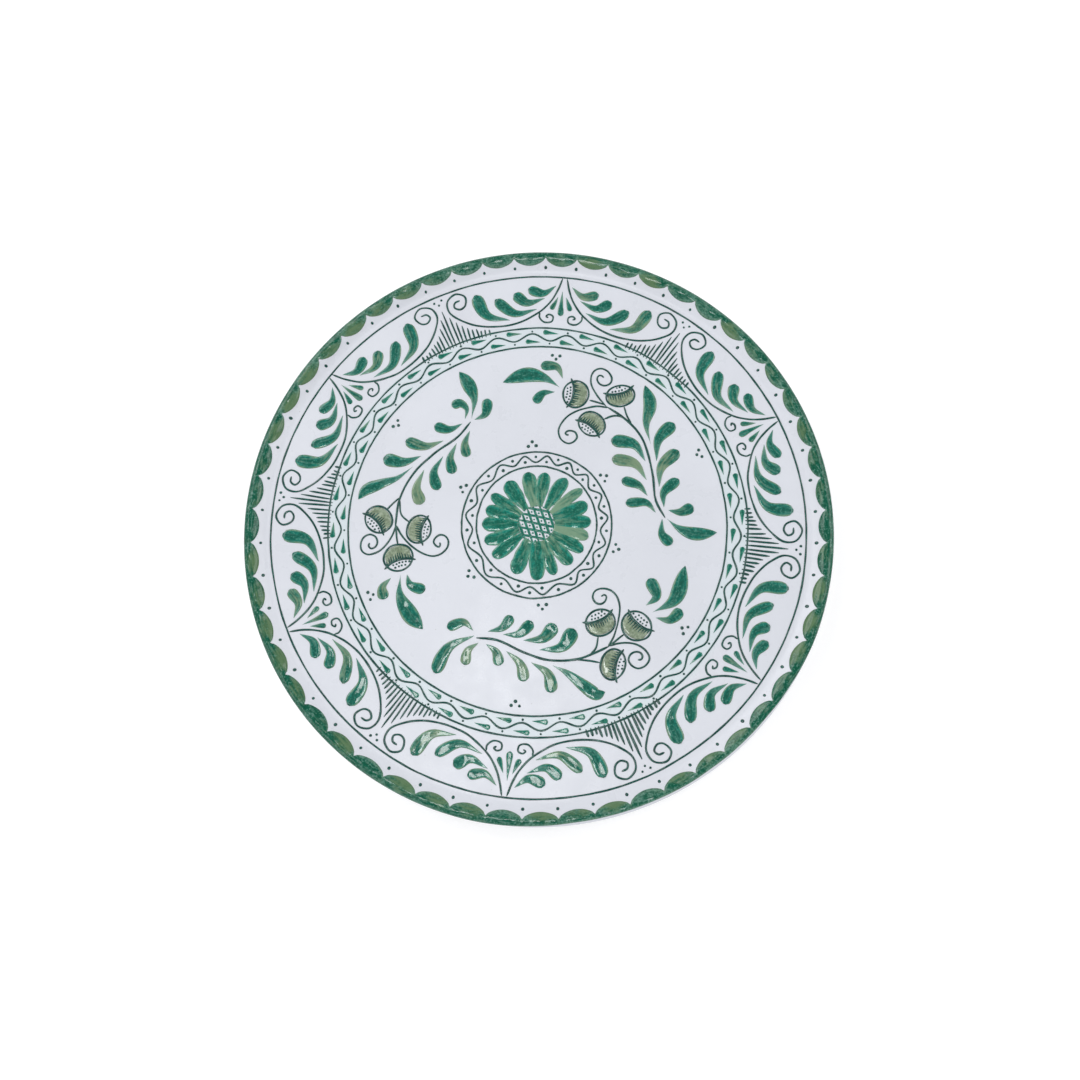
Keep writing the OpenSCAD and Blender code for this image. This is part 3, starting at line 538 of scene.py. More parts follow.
class Nodes:
    """Shorthand for building a material's nodes."""

    def __init__(self, name):
        self.material = bpy.data.materials.new(name)
        self.material.use_nodes = True
        self.tree = self.material.node_tree
        self.shader = self.tree.nodes["Principled BSDF"]
        self.place = self.new("ShaderNodeTexCoord").outputs["Object"]

    def new(self, kind):
        return self.tree.nodes.new(kind)

    def put(self, socket, value):
        """Links a socket to another, or sets it."""
        if isinstance(value, bpy.types.NodeSocket):
            self.tree.links.new(value, socket)
        elif isinstance(value, tuple) and len(value) == 3:
            socket.default_value = (*value, 1.0) if socket.type == "RGBA" else value
        else:
            socket.default_value = value

    def math(self, operation, *values):
        n = self.new("ShaderNodeMath")
        n.operation = operation
        for socket, value in zip(n.inputs, values):
            self.put(socket, value)
        return n.outputs[0]

    def remap(self, value, low, high, to_low=0.0, to_high=1.0):
        """A smooth step from to_low to to_high while value goes from low to high."""
        n = self.new("ShaderNodeMapRange")
        n.interpolation_type = "SMOOTHSTEP"
        for socket, v in zip(n.inputs, (value, low, high, to_low, to_high)):
            self.put(socket, v)
        return n.outputs[0]

    def mix(self, share, a, b):
        """Colour a with a share of colour b."""
        n = self.new("ShaderNodeMix")
        n.data_type = "RGBA"
        self.put(n.inputs["Factor"], share)
        self.put(n.inputs[6], a)
        self.put(n.inputs[7], b)
        return n.outputs[2]

    def noise(self, size, detail=3.0, place=None, roughness=0.5):
        """Noise whose features are about size millimetres across."""
        n = self.new("ShaderNodeTexNoise")
        self.put(n.inputs["Vector"], place or self.place)
        self.put(n.inputs["Scale"], 1 / (size * MM))
        self.put(n.inputs["Detail"], detail)
        self.put(n.inputs["Roughness"], roughness)
        return n.outputs["Fac"]

    def attribute(self, name):
        """The three numbers of a piece's own value, and the vector they make."""
        n = self.new("ShaderNodeAttribute")
        n.attribute_name = name
        split = self.new("ShaderNodeSeparateXYZ")
        self.put(split.inputs[0], n.outputs["Vector"])
        return (*split.outputs, n.outputs["Vector"])

    def cells(self, size):
        """Distance from the nearest of the points strewn about size millimetres apart."""
        n = self.new("ShaderNodeTexVoronoi")
        self.put(n.inputs["Vector"], self.place)
        self.put(n.inputs["Scale"], 1 / (size * MM))
        return n.outputs["Distance"]

    def radius(self):
        """Distance from the plate's axis in millimetres."""
        split = self.new("ShaderNodeSeparateXYZ")
        self.put(split.inputs[0], self.place)
        x2 = self.math("POWER", split.outputs[0], 2.0)
        y2 = self.math("POWER", split.outputs[1], 2.0)
        return self.math("DIVIDE", self.math("SQRT", self.math("ADD", x2, y2)), MM)

    def facing_up(self):
        """1 on what faces up, 0 on what faces down, in the object's own frame."""
        split = self.new("ShaderNodeSeparateXYZ")
        self.put(split.inputs[0], self.new("ShaderNodeTexCoord").outputs["Normal"])
        return self.remap(split.outputs[2], -0.1, 0.1)

    def bump(self, height, distance, under=None):
        """Relief that is distance millimetres high, on top of the relief under it."""
        n = self.new("ShaderNodeBump")
        self.put(n.inputs["Height"], height)
        self.put(n.inputs["Distance"], distance * MM)
        self.put(n.inputs["Strength"], 1.0)
        if under:
            self.put(n.inputs["Normal"], under)
        return n.outputs[0]

    def set(self, **values):
        """Sets or links the shader's own sockets."""
        names = {"colour": "Base Color", "roughness": "Roughness", "normal": "Normal", "ior": "IOR",
                 "specular": "Specular IOR Level"}
        for key, value in values.items():
            self.put(self.shader.inputs[names[key]], value)
        return self.material


def srgb(r, g, b):
    """Linear colour from the 0-255 values of a screen."""
    def one(c):
        c /= 255
        return c / 12.92 if c <= 0.04045 else ((c + 0.055) / 1.055) ** 2.4
    return (one(r), one(g), one(b))


def glaze_material(name, white, blush):
    """White glaze with faint clouds, a greenish blush in the band, grey specks and a slow ripple."""
    n = Nodes(name)
    r = n.radius()
    cloud = n.remap(n.noise(45, 4), 0.35, 0.7)
    colour = n.mix(cloud, white, tuple(c * 0.965 for c in white))
    in_band = n.math("MULTIPLY", n.remap(r, BAND_IN_R - 2, BAND_IN_R + 1),
                     n.remap(r, BAND_OUT_R - 1, BAND_OUT_R + 3, 1.0, 0.0))
    in_band = n.math("MULTIPLY", in_band, n.facing_up())
    colour = n.mix(n.math("MULTIPLY", in_band, 0.55), colour, blush)
    speck = n.remap(n.cells(9), 0.02, 0.045, 1.0, 0.0)
    colour = n.mix(n.math("MULTIPLY", speck, 0.35), colour, srgb(150, 150, 140))
    ripple = n.bump(n.noise(16, 2), 0.22)
    peel = n.bump(n.noise(1.4, 2), 0.012, under=ripple)
    roughness = n.remap(n.noise(8), 0.3, 0.7, 0.26, 0.36)
    return n.set(colour=colour, roughness=roughness, normal=peel, ior=1.5)


def enamel_material(name, deep, body, pale, olive, fringe=0.55, tail=0.0, ior=1.52):
    """Brushed enamel: deep in the middle of a mark, olive where it is thin, pale in its streaks.

    fringe is how olive a mark's edges are, and tail how pale its start is.
    """
    n = Nodes(name)
    edge, along, olive_share, _ = n.attribute("paint")
    brush = n.attribute("brush")[3]
    streak = n.noise(1.0, 2, brush)
    cloud = n.noise(3.2, 2)
    blot = n.noise(0.9, 3)
    uneven = n.math("MULTIPLY", n.math("SUBTRACT", cloud, 0.5), 1.6)
    colour = n.mix(n.remap(n.math("ADD", edge, uneven), 0.2, 0.9), deep, body)
    # Dark blots, pale streaks and pale specks.
    darkest = tuple(c * 0.5 for c in deep)
    colour = n.mix(n.math("MULTIPLY", n.remap(blot, 0.49, 0.58), 0.5), colour, darkest)
    colour = n.mix(n.math("MULTIPLY", n.remap(streak, 0.47, 0.72), 0.35), colour, pale)
    colour = n.mix(n.math("MULTIPLY", n.remap(blot, 0.34, 0.44, 1.0, 0.0), 0.4), colour, pale)
    # Olive where the brush ran dry, a pale start, and a thin fringe.
    thinned = n.math("ADD", n.math("MULTIPLY", streak, 1.4), n.math("MULTIPLY", along, -0.5))
    thinned = n.math("ADD", thinned, n.math("ADD", olive_share, n.math("MULTIPLY", uneven, 0.3)))
    colour = n.mix(n.remap(thinned, 0.6, 1.5, 0.0, 0.9), colour, olive)
    if tail:
        fade = n.math("ADD", along, n.math("MULTIPLY", uneven, 0.4))
        colour = n.mix(n.remap(fade, 0.02, 0.55, tail, 0.0), colour, pale)
    thin = n.math("MULTIPLY", n.remap(edge, 0.62, 0.93), n.remap(cloud, 0.36, 0.56, 0.2, 1.0))
    colour = n.mix(n.math("MULTIPLY", thin, fringe), colour, olive)
    pooled = n.bump(n.noise(6, 0), 0.5)
    wavy = n.bump(blot, 0.015, under=n.bump(n.noise(3.5, 1, brush), 0.1, under=pooled))
    roughness = n.remap(streak, 0.3, 0.7, 0.05, 0.11)
    return n.set(colour=colour, roughness=roughness, normal=wavy, ior=ior)


def clay_material():
    """Unglazed clay, with sandy grains."""
    n = Nodes("bare_clay")
    grain = n.noise(0.7, 5, roughness=0.7)
    colour = n.mix(n.remap(n.noise(14, 4), 0.35, 0.65), srgb(206, 178, 146), srgb(188, 155, 120))
    colour = n.mix(n.math("MULTIPLY", n.remap(grain, 0.5, 0.75), 0.5), colour, srgb(150, 116, 84))
    grit = n.bump(grain, 0.15)
    return n.set(colour=colour, roughness=n.remap(grain, 0.3, 0.7, 0.75, 0.95), normal=grit)


GLAZE = glaze_material("white_glaze", srgb(213, 216, 224), srgb(203, 218, 222))
LINE_GREEN = enamel_material(
    "line_enamel", srgb(0, 62, 56), srgb(14, 78, 70), srgb(66, 116, 108), srgb(70, 106, 88),
    fringe=0.2)
LEAF_GREEN = enamel_material(
    "leaf_enamel", srgb(0, 94, 78), srgb(10, 120, 104), srgb(98, 150, 138), srgb(126, 146, 116),
    fringe=0.7, tail=0.5)
DEEP_GREEN = enamel_material(
    "flower_enamel", srgb(0, 100, 82), srgb(6, 130, 114), srgb(84, 144, 126), srgb(122, 152, 126))
LIP_GREEN = enamel_material(
    "lip_enamel", srgb(4, 88, 66), srgb(82, 126, 108), srgb(120, 158, 148), srgb(92, 120, 84),
    fringe=0.2, ior=1.38)
OLIVE_WASH = enamel_material(
    "olive_wash", srgb(124, 140, 116), srgb(148, 162, 142), srgb(172, 184, 164), srgb(132, 148, 112))
CLAY = clay_material()

# ----- clay body and glaze -----


def arc(centre_r, centre_z, radius, start, end, count):
    """Points (r, z) along an arc, angles in degrees."""
    out = []
    for k in range(count + 1):
        q = polar(start + (end - start) * k / count, radius)
        out.append((centre_r + q.x, centre_z + q.y))
    return out


def back_profile():
    """Underside from the outside of the lip to the foot ring."""
    out = arc(CREST_R, EDGE_Z, LIP_ROUND, 0, -70, 6)[1:]
    rim_z = FLOOR_Z + RIM_RISE - RIM_WALL_T
    out += [(LIP_R + 4, rim_z + 2.4), (LIP_R + 1.5, rim_z + 0.9), (LIP_R - 2, rim_z - 0.25)]
    foot = FOOT_OUT + FOOT_DRAFT
    for k in range(1, 9):
        t = k / 8
        out.append((
            LIP_R - 2 + (foot + 1.5 - LIP_R + 2) * t, rim_z - 0.25 + (FOOT_H + 0.35 - rim_z) * t))
    return out + [(foot, FOOT_H + 0.2)]


def face_profile():
    """The glazed face from the middle of the well to the outside of the lip."""
    out = [(0.0, FLOOR_Z)]
    out += [(r, face_z(r)) for r in (4, *range(10, 71, 10), 78, *range(82, 95, 2))]
    out += [(r, face_z(r)) for r in range(98, 129, 4)]
    out += [(LIP_R + k * 0.8, face_z(LIP_R + k * 0.8)) for k in range(12)]
    return out + arc(CREST_R, EDGE_Z, LIP_ROUND, 85, 0, 8)


def glaze_shell():
    piece = Piece()
    outside = face_profile() + back_profile()
    hidden_z = FOOT_H + 1.5
    inside = [(FOOT_OUT + FOOT_DRAFT, FOOT_H + GLAZE_T), (FOOT_OUT, hidden_z), (0.0, hidden_z)]
    lathe(piece, outside + inside, 288)
    piece.finish("glaze_shell", GLAZE, "white_glaze", "glaze_coat")


def recess_glaze():
    """The glaze inside the foot ring, with the rings that the wheel left in it."""
    piece = Piece()
    top = FOOT_H + GLAZE_T
    r = FOOT_IN - FOOT_DRAFT
    points = [(0.0, top), (r, top), (r, FOOT_H - 0.1), (r - 1, FOOT_H)]
    steps = 34
    depth = 0.07
    for k in range(1, steps):
        points.append(((r - 1) * (1 - k / steps), FOOT_H + depth * math.sin(k * 1.9) - depth))
    points.append((0.0, FOOT_H - 0.1))
    lathe(piece, points, 144)
    piece.finish("recess_glaze", GLAZE, "white_glaze", "foot_recess_glaze")


def clay_body():
    """The clay that shows: the bare foot ring, rounded and with a fine groove under it."""
    piece = Piece()
    top = FOOT_H + GLAZE_T
    inner = FOOT_IN - FOOT_DRAFT
    outer = FOOT_OUT + FOOT_DRAFT
    edge = 0.8
    points = [(0.0, top), (inner, top), (inner, FOOT_H)]
    points += [(FOOT_IN - FOOT_DRAFT * (1 - k / 4), FOOT_H * (1 - k / 4) + 0.001) for k in range(1, 4)]
    points += arc(FOOT_IN + edge, edge, edge, 190, 260, 3)
    points += [(FOOT_R - edge, 0.0), (FOOT_R, 0.12), (FOOT_R + edge, 0.0)]
    points += arc(FOOT_OUT - edge, edge, edge, -80, -10, 3)
    points += [(FOOT_OUT + FOOT_DRAFT * k / 4, FOOT_H * k / 4) for k in range(1, 5)]
    points += [(outer, top), (0.0, FOOT_H + 1.2)]
    lathe(piece, points, 240)
    piece.finish("clay_body", CLAY, "clay", "biscuit_body")


glaze_shell()
recess_glaze()
clay_body()

# ----- the lip -----


def cusp_a(i):
    """Angle of the point between two lobes; the lobes are not quite evenly spaced."""
    even = i * 360 / SCALLOP_COUNT
    return 115 - even + 1.6 * (1 - math.cos(math.radians(even)))


def lip_point(s):
    """(r, z, outward normal) on the lip at s millimetres of profile from the crest, + outward."""
    if s <= 0:
        r = CREST_R + s
        slope = (face_z(r + 0.05) - face_z(r - 0.05)) / 0.1
        n = Vector((-slope, 1)).normalized()
        return r, face_z(r), n
    a = s / LIP_ROUND
    n = Vector((math.sin(a), math.cos(a)))
    return CREST_R + LIP_ROUND * n.x, EDGE_Z + LIP_ROUND * n.y, n


def bare_edge(a):
    """Millimetres of the lip's outer edge that the brush missed at angle a."""
    return 2.0 * clamp((math.cos(math.radians(a + 62)) - 0.78) / 0.15)


def lip_shade_share(a):
    """Painted shade at angle a: 1 on the two sides of the lip that are coloured darker for shade, 0
    elsewhere.
    """
    toward = max(math.cos(math.radians(a - 197)), 0.9 * math.cos(math.radians(a + 10)))
    return clamp((toward - 0.7) / 0.25)


# How far the band comes down the outside of the lip, measured from its crest.
LIP_OUTSIDE = 3.1
# Shares of the way from a lobe's inner edge to the band's outer edge; steps along a lobe.
LIP_ROWS = (0, 0.06, 0.16, 0.32, 0.5, 0.66, 0.8, 0.88, 0.94, 0.98, 1)
LOBE_STEPS = 16


def lip_enamel():
    """The band over the lip and the lobes that hang from it, as one coat."""
    piece = Piece()
    columns = []
    band_in = -(LIP_BAND_W - LIP_ROUND)
    for i in range(SCALLOP_COUNT):
        a0, a1 = cusp_a(i), cusp_a(i + 1)
        drop = SCALLOP_DROP * random.uniform(0.9, 1.06)
        olive = random.choice((0.15, 0.4, 0.7, 0.9))
        for k in range(LOBE_STEPS):
            t = k / LOBE_STEPS
            a = a0 + (a1 - a0) * t
            lobe = math.sin(math.pi * t) ** 0.6
            inner = band_in - 0.3 - drop * lobe
            u = polar(a, 1)
            outer = LIP_OUTSIDE + 0.25 * noise.noise((u.x * 9, u.y * 9, 3)) - bare_edge(a)
            column = []
            for share in LIP_ROWS:
                s = inner + (outer - inner) * share
                r, z, n = lip_point(s)
                gap = min(s - inner, outer - s) if 0 < share < 1 else 0
                lift = PAINT_T * clamp(gap / 0.5) ** 0.5 if gap > 0 else -0.05
                q = u * (r + n.x * lift)
                near = 1 - clamp(min(s - inner, (outer - s) * 1.5) / 1.6)
                # Painted shade: by angle round the plate, the lip is coloured deeper on its two shaded
                # sides and paler elsewhere.
                near = clamp(near + 0.4 - 0.8 * lip_shade_share(a))
                column.append(piece.add_point(
                    Vector((q.x, q.y, z + n.y * lift + warp(q.x, q.y))),
                    (near, t, olive * clamp(lobe * 1.4 - 1.3 * share)),
                    (s * MM, math.radians(a) * PLATE_R * MM / STREAK, 0)))
            columns.append(column)
    n = len(columns)
    for i in range(n):
        one, two = columns[i], columns[(i + 1) % n]
        for k in range(len(LIP_ROWS) - 1):
            piece.faces.append((one[k], one[k + 1], two[k + 1], two[k]))
    piece.finish("lip_enamel", LIP_GREEN, "lip_green", "lip_band", "lip_scallops")


def scallop_dots():
    piece = Piece()
    for i in range(SCALLOP_COUNT):
        dot(piece, polar(cusp_a(i), PLATE_R - LIP_BAND_W - SCALLOP_DROP - 0.9), 0.75)
    piece.finish("scallop_dots_enamel", LINE_GREEN, "line_green", "scallop_dots")


lip_enamel()
scallop_dots()

# ----- the rim -----


def ring_line(node, r, steps=480):
    """A fine line right round the plate, unsteady in its radius and its width."""
    piece = Piece()
    path = []
    half = []
    for k in range(steps):
        u = polar(-360 * k / steps, 1)
        wander = 0.22 * noise.noise((u.x * 5, u.y * 5, r)) + 0.08 * noise.noise((u.x * 24, u.y * 24, r))
        path.append(u * (r + wander))
        half.append(LINE_W / 2 * (1 + 0.3 * noise.noise((u.x * 16, u.y * 16, r + 30))))
    closed_stroke(piece, path, half)
    piece.finish(node + "_enamel", LINE_GREEN, "line_green", node)


def peak_a(i):
    """Angle of garland i's peak."""
    return GARLAND_A - (i - 1) * 360 / GARLAND_COUNT


def rim_trios():
    """The three dots in the gap between two garlands."""
    piece = Piece()
    for i in CELLS:
        middle = peak_a(i - 0.5)
        for da, h in ((0.9, 24.6), (-0.9, 24.6), (0, 22.7)):
            dot(piece, rim_at(middle + da, h), 0.62)
    piece.finish("rim_trio_enamel", LINE_GREEN, "line_green", "rim_trio_dots")


def on_garland(i, side, points):
    """A garland's own points on the rim: side is 1 or -1, for its two mirrored sides."""
    return [rim_at(peak_a(i) + side * angle, height) for angle, height in points]


def scroll(i):
    """The scroll and the curl on each side of garland i."""
    piece = Piece()
    for side in (1, -1):
        line(piece, on_garland(i, side, SCROLL), width=1.0)
        line(piece, on_garland(i, side, CURL), width=0.9)
    piece.finish(f"scroll_{i}", LINE_GREEN, "line_green", f"garland_scroll_{i}")


def garland_leaves(i):
    """The leaves on each side of garland i, and the fan of three under its peak."""
    piece = Piece()
    for side in (1, -1):
        for *points, width, belly in GARLAND_LEAVES:
            olive = random.choice((0, 0, 0.1, 0.25, 0.55))
            leaf(piece, on_garland(i, side, points), width, belly, olive)
    for *points, width, belly in FAN:
        leaf(piece, on_garland(i, 1, points), width, belly, random.choice((0, 0.4)))
    piece.finish(f"garland_leaf_enamel_{i}", LEAF_GREEN, "leaf_green", f"garland_leaves_{i}")


def comb(i):
    """The strokes between garland i and the one before it, a little broader to the lower right."""
    piece = Piece()
    last = len(COMB_TOPS) - 1
    for k in range(-last, last + 1):
        a = peak_a(i) + 180 / GARLAND_COUNT + k * COMB_STEP
        top = COMB_TOPS[abs(k)] + random.uniform(-0.5, 0.3)
        lean = random.uniform(-0.25, 0.25)
        width = 0.95 + 0.3 * clamp(math.cos(math.radians(a - LOWER_RIGHT)) * 2 - 1)
        line(piece, (rim_at(a + lean, -1.1), rim_at(a + lean / 2, top / 2), rim_at(a, top)), 3, width)
    piece.finish(f"comb_{i}", LINE_GREEN, "line_green", f"garland_comb_{i}")


ring_line("rim_line", RIM_LINE_R)
rim_trios()
for i in CELLS:
    scroll(i)
    garland_leaves(i)
    comb(i)

# ----- the band -----


def band_wave():
    piece = Piece()
    steps = 12
    wave = []
    for k in range(WAVE_COUNT * steps):
        swing = math.cos(math.tau * k / steps)
        wave.append(band_at(WAVE_START - WAVE_STEP * k / steps, BAND_MID + WAVE_RISE * swing))
    closed_line(piece, shaky(wave, 0.3, 9))
    piece.finish("band_wave_enamel", LINE_GREEN, "line_green", "band_wave")


def band_drops_and_dots():
    """A drop on the hollow side of each bend of the wave, and a dot on the other."""
    drops = Piece()
    dots = Piece()
    for k in range(WAVE_COUNT):
        crest = WAVE_START - WAVE_STEP * k
        for a, share, dot_share in ((crest, 0.27, 0.83), (crest - WAVE_STEP / 2, 0.76, 0.18)):
            a += random.uniform(-0.2, 0.2)
            tail, middle = band_at(a - 2.4, share - 0.03), band_at(a + 0.5, share)
            head = band_at(a + 2.1, share + 0.03)
            leaf(drops, (tail, middle, head), 2.5, 2, random.choice((0, 0, 0.3)), 6)
            dot(dots, band_at(a, dot_share), 0.55)
    drops.finish("band_drop_enamel", DEEP_GREEN, "leaf_green", "band_drops")
    dots.finish("band_dot_enamel", LINE_GREEN, "line_green", "band_dots")


ring_line("band_outer_line", BAND_OUT_R)
ring_line("band_inner_line", BAND_IN_R)
band_wave()
band_drops_and_dots()

# ----- the well -----


def trio(piece, a, r_pair, r_one):
    """Three dots: a pair at one radius and one between them at another."""
    half_gap = 1.9
    across = Vector((-math.sin(math.radians(a)), math.cos(math.radians(a))))
    for side in (-1, 1):
        dot(piece, polar(a, r_pair) + side * half_gap * across)
    dot(piece, polar(a, r_one))


def well_trios():
    piece = Piece()
    for i in CELLS:
        trio(piece, peak_a(i), WELL_R - 1.2, WELL_R - 3.2)
    piece.finish("well_trio_enamel", LINE_GREEN, "line_green", "well_trio_dots")


def berry_frame(berry):
    """(centre, way it faces, way across, radius, depth that way as a share of the width)"""
    centre, r, a, flat = berry
    ahead = polar(a, 1)
    return Vector(centre), ahead, Vector((-ahead.y, ahead.x)), r, flat


def crown(berry):
    """Points of a berry's crown line, which parts its wash from its dotted face."""
    centre, ahead, across, r, _ = berry_frame(berry)
    return [centre + r * (forward * ahead + sideways * across) for forward, sideways in CROWN]


CROWN_CURVE = curve(CROWN, 6)


def crown_height(v):
    """How far ahead of a berry's middle its crown line lies, at v across, both in radii."""
    for (h0, v0), (h1, v1) in zip(CROWN_CURVE, CROWN_CURVE[1:]):
        if v <= v1:
            return h0 + (h1 - h0) * (v - v0) / (v1 - v0)
    return CROWN_CURVE[-1].x


def berry_wash(piece, berry):
    """The pale wash between a berry's outline and its crown line."""
    columns, rows = 20, 6
    centre, ahead, across, r, flat = berry_frame(berry)
    grid = []
    for i in range(columns + 1):
        v = -0.93 + 1.86 * i / columns
        back = -flat * math.sqrt(0.97 - v * v)
        front = min(crown_height(v), -back)
        column = []
        for j in range(rows + 1):
            h = back + (front - back) * j / rows
            inside = 0 < i < columns and 0 < j < rows
            p = centre + r * (h * ahead + v * across)
            near = max(abs(v), abs(2 * j / rows - 1))
            column.append(piece.add_point(
                on_face(p.x, p.y, WASH_T if inside else -SINK), (near * 0.85, 0.5, 0),
                (r * v * MM, r * h * MM / STREAK, centre.x)))
        grid.append(column)
    for i in range(columns):
        for j in range(rows):
            piece.faces.append((grid[i][j], grid[i][j + 1], grid[i + 1][j + 1], grid[i + 1][j]))
    border = grid[0] + [c[-1] for c in grid[1:]] + grid[-1][-2::-1] + [c[0] for c in grid[-2:0:-1]]
    piece.faces.append(tuple(reversed(border)))


def hatch(piece, foot, away):
    """A short stroke that starts broad at foot and runs out to a point."""
    path = curve((foot, foot + away * 0.5, foot + away), 4)
    last = len(path) - 1
    half = [HATCH_W / 2 * (1 - 0.7 * (i / last) ** 1.5) for i in range(last + 1)]
    stroke(piece, path, half, LINE_SECTION, rise=0.2, base=WASH_T)


def berry_lines(piece, berry):
    """A berry's outline, its crown line with short strokes behind it, and its dots."""
    centre, ahead, across, r, flat = berry_frame(berry)
    outline = []
    for k in range(36):
        q = polar(10 * k, r)
        outline.append(centre + ahead * q.x * flat + across * q.y)
    closed_line(piece, shaky(outline, 0.25), 1.0)
    line(piece, crown(berry), 5, 1.2, base=0.05)
    for k in range(-5, 6):
        v = k * 0.165 + random.uniform(-0.02, 0.02)
        foot = centre + r * (crown_height(v) * ahead + v * across)
        away = r * random.uniform(0.4, 0.52) * (1 - 0.5 * v * v) * -ahead
        hatch(piece, foot, away)
    spacing = 0.23
    for row in range(5):
        for k in range(-5, 6):
            v = (k + 0.5 * (row % 2)) * spacing + random.uniform(-0.02, 0.02)
            h = crown_height(v) + spacing * (row + 0.9)
            if (h / flat) ** 2 + v ** 2 < 0.74:
                dot(piece, centre + r * (h * ahead + v * across), random.uniform(0.44, 0.56), 0.25, 8)


def branch(i):
    """Branch i: its stem and shoots, its leaves, and its berries' wash and drawing."""
    piece = Piece()
    stem, *shoots = STEMS[i - 1]
    line(piece, stem, width=1.15)
    for shoot in shoots:
        line(piece, shoot, width=0.95)
    piece.finish(f"stem_{i}", LINE_GREEN, "line_green", f"branch_stem_{i}")

    piece = Piece()
    for points, width, belly, olive in BRANCH_LEAVES[i - 1]:
        leaf(piece, points, width, belly, olive, 24 // (len(points) - 1))
    piece.finish(f"branch_leaf_enamel_{i}", LEAF_GREEN, "leaf_green", f"branch_leaves_{i}")

    piece = Piece()
    for berry in BERRIES[i - 1]:
        berry_wash(piece, berry)
    piece.finish(f"berry_wash_enamel_{i}", OLIVE_WASH, "olive_wash", f"berry_wash_{i}")

    piece = Piece()
    for berry in BERRIES[i - 1]:
        berry_lines(piece, berry)
    piece.finish(f"berry_line_enamel_{i}", LINE_GREEN, "line_green", f"berry_drawing_{i}")


well_trios()
for i in (1, 2, 3):
    branch(i)

# ----- the medallion -----

CREST_COUNT = len(WAVE_CRESTS)


def crest_a(k):
    """Angle of the medallion wave's crest k, counting on past a full turn."""
    return WAVE_CRESTS[k % CREST_COUNT] - 360 * (k // CREST_COUNT)


def trough_a(k):
    """Angle of the bend between crests k and k + 1."""
    return (crest_a(k) + crest_a(k + 1)) / 2


def medallion_wave():
    """The wave is drawn a little past a full turn and cut where it meets itself."""
    piece = Piece()
    steps = 6
    path = []
    for k in range(CREST_COUNT + 2):
        path += [border_at(crest_a(k), 0.76), border_at(trough_a(k), 0.27)]
    wave = curve(path, steps)[steps:steps + 2 * steps * CREST_COUNT]
    closed_line(piece, shaky(wave, 0.2))
    piece.finish("medallion_wave_enamel", LINE_GREEN, "line_green", "medallion_wave")


def medallion_dots():
    piece = Piece()
    for k in range(CREST_COUNT):
        dot(piece, border_at(crest_a(k), 0.33))
        dot(piece, border_at(trough_a(k), 0.66))
    piece.finish("medallion_dot_enamel", LINE_GREEN, "line_green", "medallion_dots")


def medallion_trios():
    piece = Piece()
    for a in MEDALLION_TRIOS:
        trio(piece, a, MEDALLION_R + 3.1, MEDALLION_R + 5.2)
    piece.finish("medallion_trio_enamel", LINE_GREEN, "line_green", "medallion_trio_dots")


def petals():
    piece = Piece()
    for a, reach, width, olive in PETALS:
        petal(piece, a, reach, width, olive)
    piece.finish("petal_enamel", DEEP_GREEN, "deep_green", "flower_petals")


def lattice():
    """Two sets of lines that cross over the flower's heart, with a dot in each mesh."""
    piece = Piece()
    row, column = Vector((3.45, -0.75)), Vector((1.3, -3.75))
    mesh_at = Vector((-1, 2.2))
    for k in range(-3, 4):
        for start, way in ((mesh_at + (k - 0.5) * column, row), (mesh_at + (k - 0.5) * row, column)):
            near = start - way * (start.dot(way) / way.length_squared)
            if near.length > LATTICE_R - 1:
                continue
            reach = math.sqrt(LATTICE_R ** 2 - near.length ** 2) / way.length
            line(piece, (near - way * reach, near, near + way * reach), 4, 1.3)
    for i in range(-3, 4):
        for j in range(-3, 4):
            p = mesh_at + i * row + j * column
            if p.length < LATTICE_R - 0.6:
                dot(piece, p, 0.45)
    piece.finish("lattice_enamel", DEEP_GREEN, "deep_green", "flower_lattice")


ring_line("medallion_outer_line", MEDALLION_R, 240)
ring_line("medallion_inner_line", BORDER_IN_R, 240)
medallion_wave()
medallion_dots()
medallion_trios()
petals()
lattice()

# ----- floor, lights and camera, in metres -----

FLOOR_R = 8
SWEEP_R = 6
WALL_H = 10
WORLD_STRENGTH = 0.36
# Soft lights, all turned to the plate: name, place, size, watts.
LIGHTS = (
    ("key", (-0.85, 0.75, 1.15), (0.9, 0.9), 8.2),
    ("right", (1.0, 0.35, 1.05), (0.8, 0.8), 5.4),
    ("front", (0.3, -1.05, 1.0), (0.8, 0.8), 2.0),
    ("left", (-1.0, -0.5, 1.0), (0.7, 0.7), 3.2),
    ("window", (-0.07, -0.02, 1.0), (0.24, 0.1), 0.8)
)


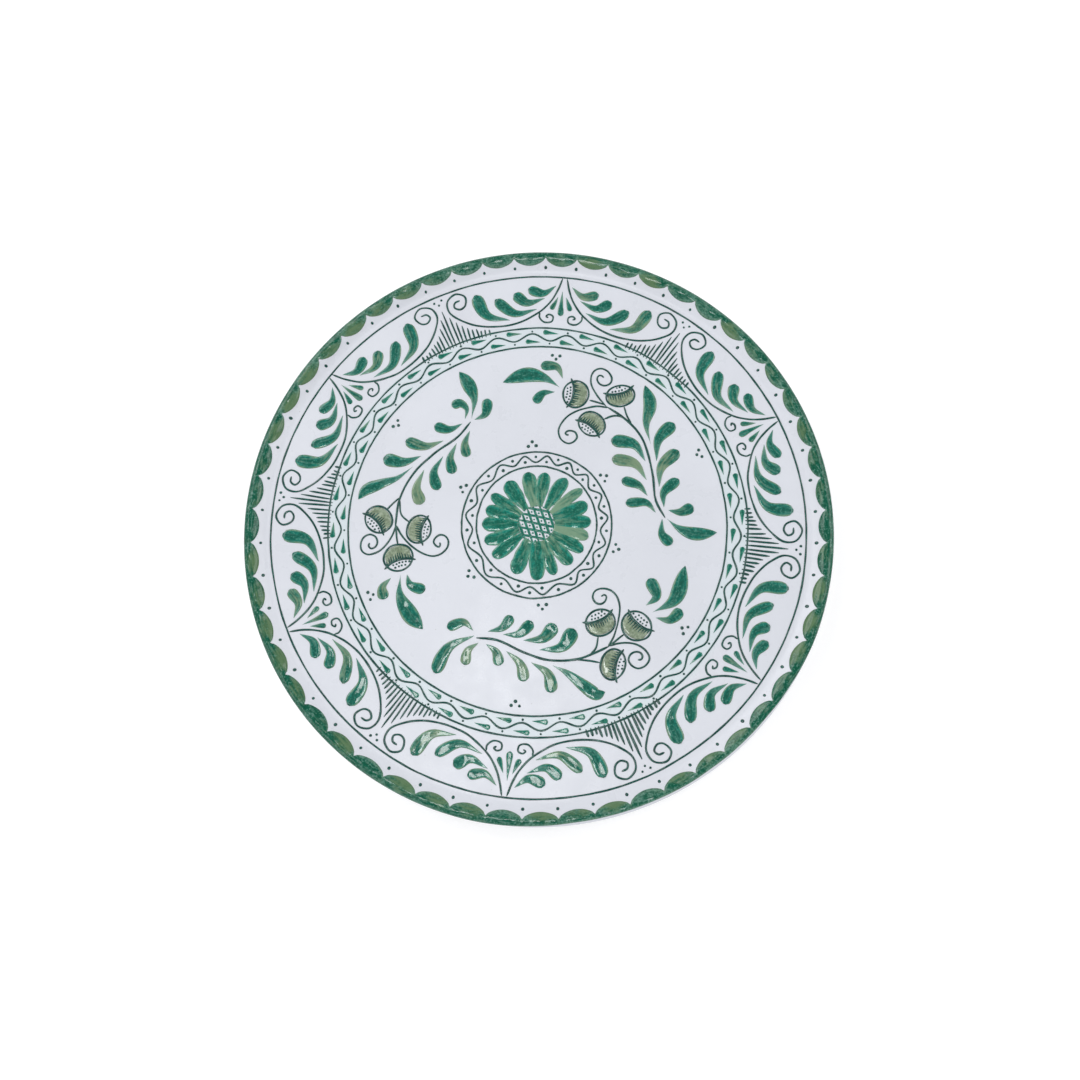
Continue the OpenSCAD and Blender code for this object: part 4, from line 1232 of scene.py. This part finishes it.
def pale_floor():
    """A round floor that sweeps up into a wall, so that no view shows its edge."""
    profile = [(0.5, 0), (FLOOR_R, 0)]
    for degrees in range(15, 91, 15):
        t = math.radians(degrees)
        profile.append((FLOOR_R + SWEEP_R * math.sin(t), SWEEP_R - SWEEP_R * math.cos(t)))
    profile.append((FLOOR_R + SWEEP_R, WALL_H))
    sides = 64
    points = [(0, 0, 0)]
    faces = [(0, 1 + k, 1 + (k + 1) % sides) for k in range(sides)]
    for ring, (r, z) in enumerate(profile):
        for k in range(sides):
            points.append((*polar(360 * k / sides, r), z))
        if ring == 0:
            continue
        first = 1 + (ring - 1) * sides
        for k in range(sides):
            after = (k + 1) % sides
            faces.append((first + k, first + sides + k, first + sides + after, first + after))
    mesh = bpy.data.meshes.new("floor")
    mesh.from_pydata(points, [], faces)
    mesh.shade_smooth()
    n = Nodes("pale_floor")
    n.set(colour=(0.7, 0.7, 0.7), roughness=1.0, specular=0.0)
    n.put(n.shader.inputs["Emission Color"], (1.0, 1.0, 1.0))
    n.put(n.shader.inputs["Emission Strength"], 0.4)
    mesh.materials.append(n.material)
    floor = bpy.data.objects.new("floor", mesh)
    bpy.context.scene.collection.objects.link(floor)


def studio_light():
    world = bpy.data.worlds.new("studio")
    world.use_nodes = True
    background = world.node_tree.nodes["Background"]
    background.inputs["Color"].default_value = (1, 1, 1, 1)
    background.inputs["Strength"].default_value = WORLD_STRENGTH
    bpy.context.scene.world = world
    for name, place, size, power in LIGHTS:
        light = bpy.data.lights.new(name, "AREA")
        light.shape = "RECTANGLE"
        light.size, light.size_y = size
        light.energy = power
        obj = bpy.data.objects.new(name, light)
        obj.location = place
        obj.rotation_euler = (-Vector(place)).to_track_quat("-Z", "Y").to_euler()
        bpy.context.scene.collection.objects.link(obj)


def camera():
    """Looks down on the plate, tilted off its axis towards its lower edge; in millimetres."""
    distance, tilt, turn = 470, math.radians(13.39), math.radians(8.97)
    aim = Vector((1.7, -7.9, 0))
    place = distance * Vector((
        math.sin(tilt) * math.sin(turn), -math.sin(tilt) * math.cos(turn), math.cos(tilt)))
    ahead = (aim - place).normalized()
    right = ahead.cross(Vector((0, 1, 0))).normalized()
    up = right.cross(ahead)
    data = bpy.data.cameras.new("camera")
    data.sensor_width = 36
    data.lens = 32.6
    obj = bpy.data.objects.new("camera", data)
    axes = Matrix((right, up, -ahead)).transposed().to_4x4()
    obj.matrix_world = Matrix.Translation((place + Vector((0, 0, FLOOR_Z))) * MM) @ axes
    bpy.context.scene.collection.objects.link(obj)
    bpy.context.scene.camera = obj


pale_floor()
studio_light()
camera()
bpy.context.scene.view_settings.view_transform = "Standard"
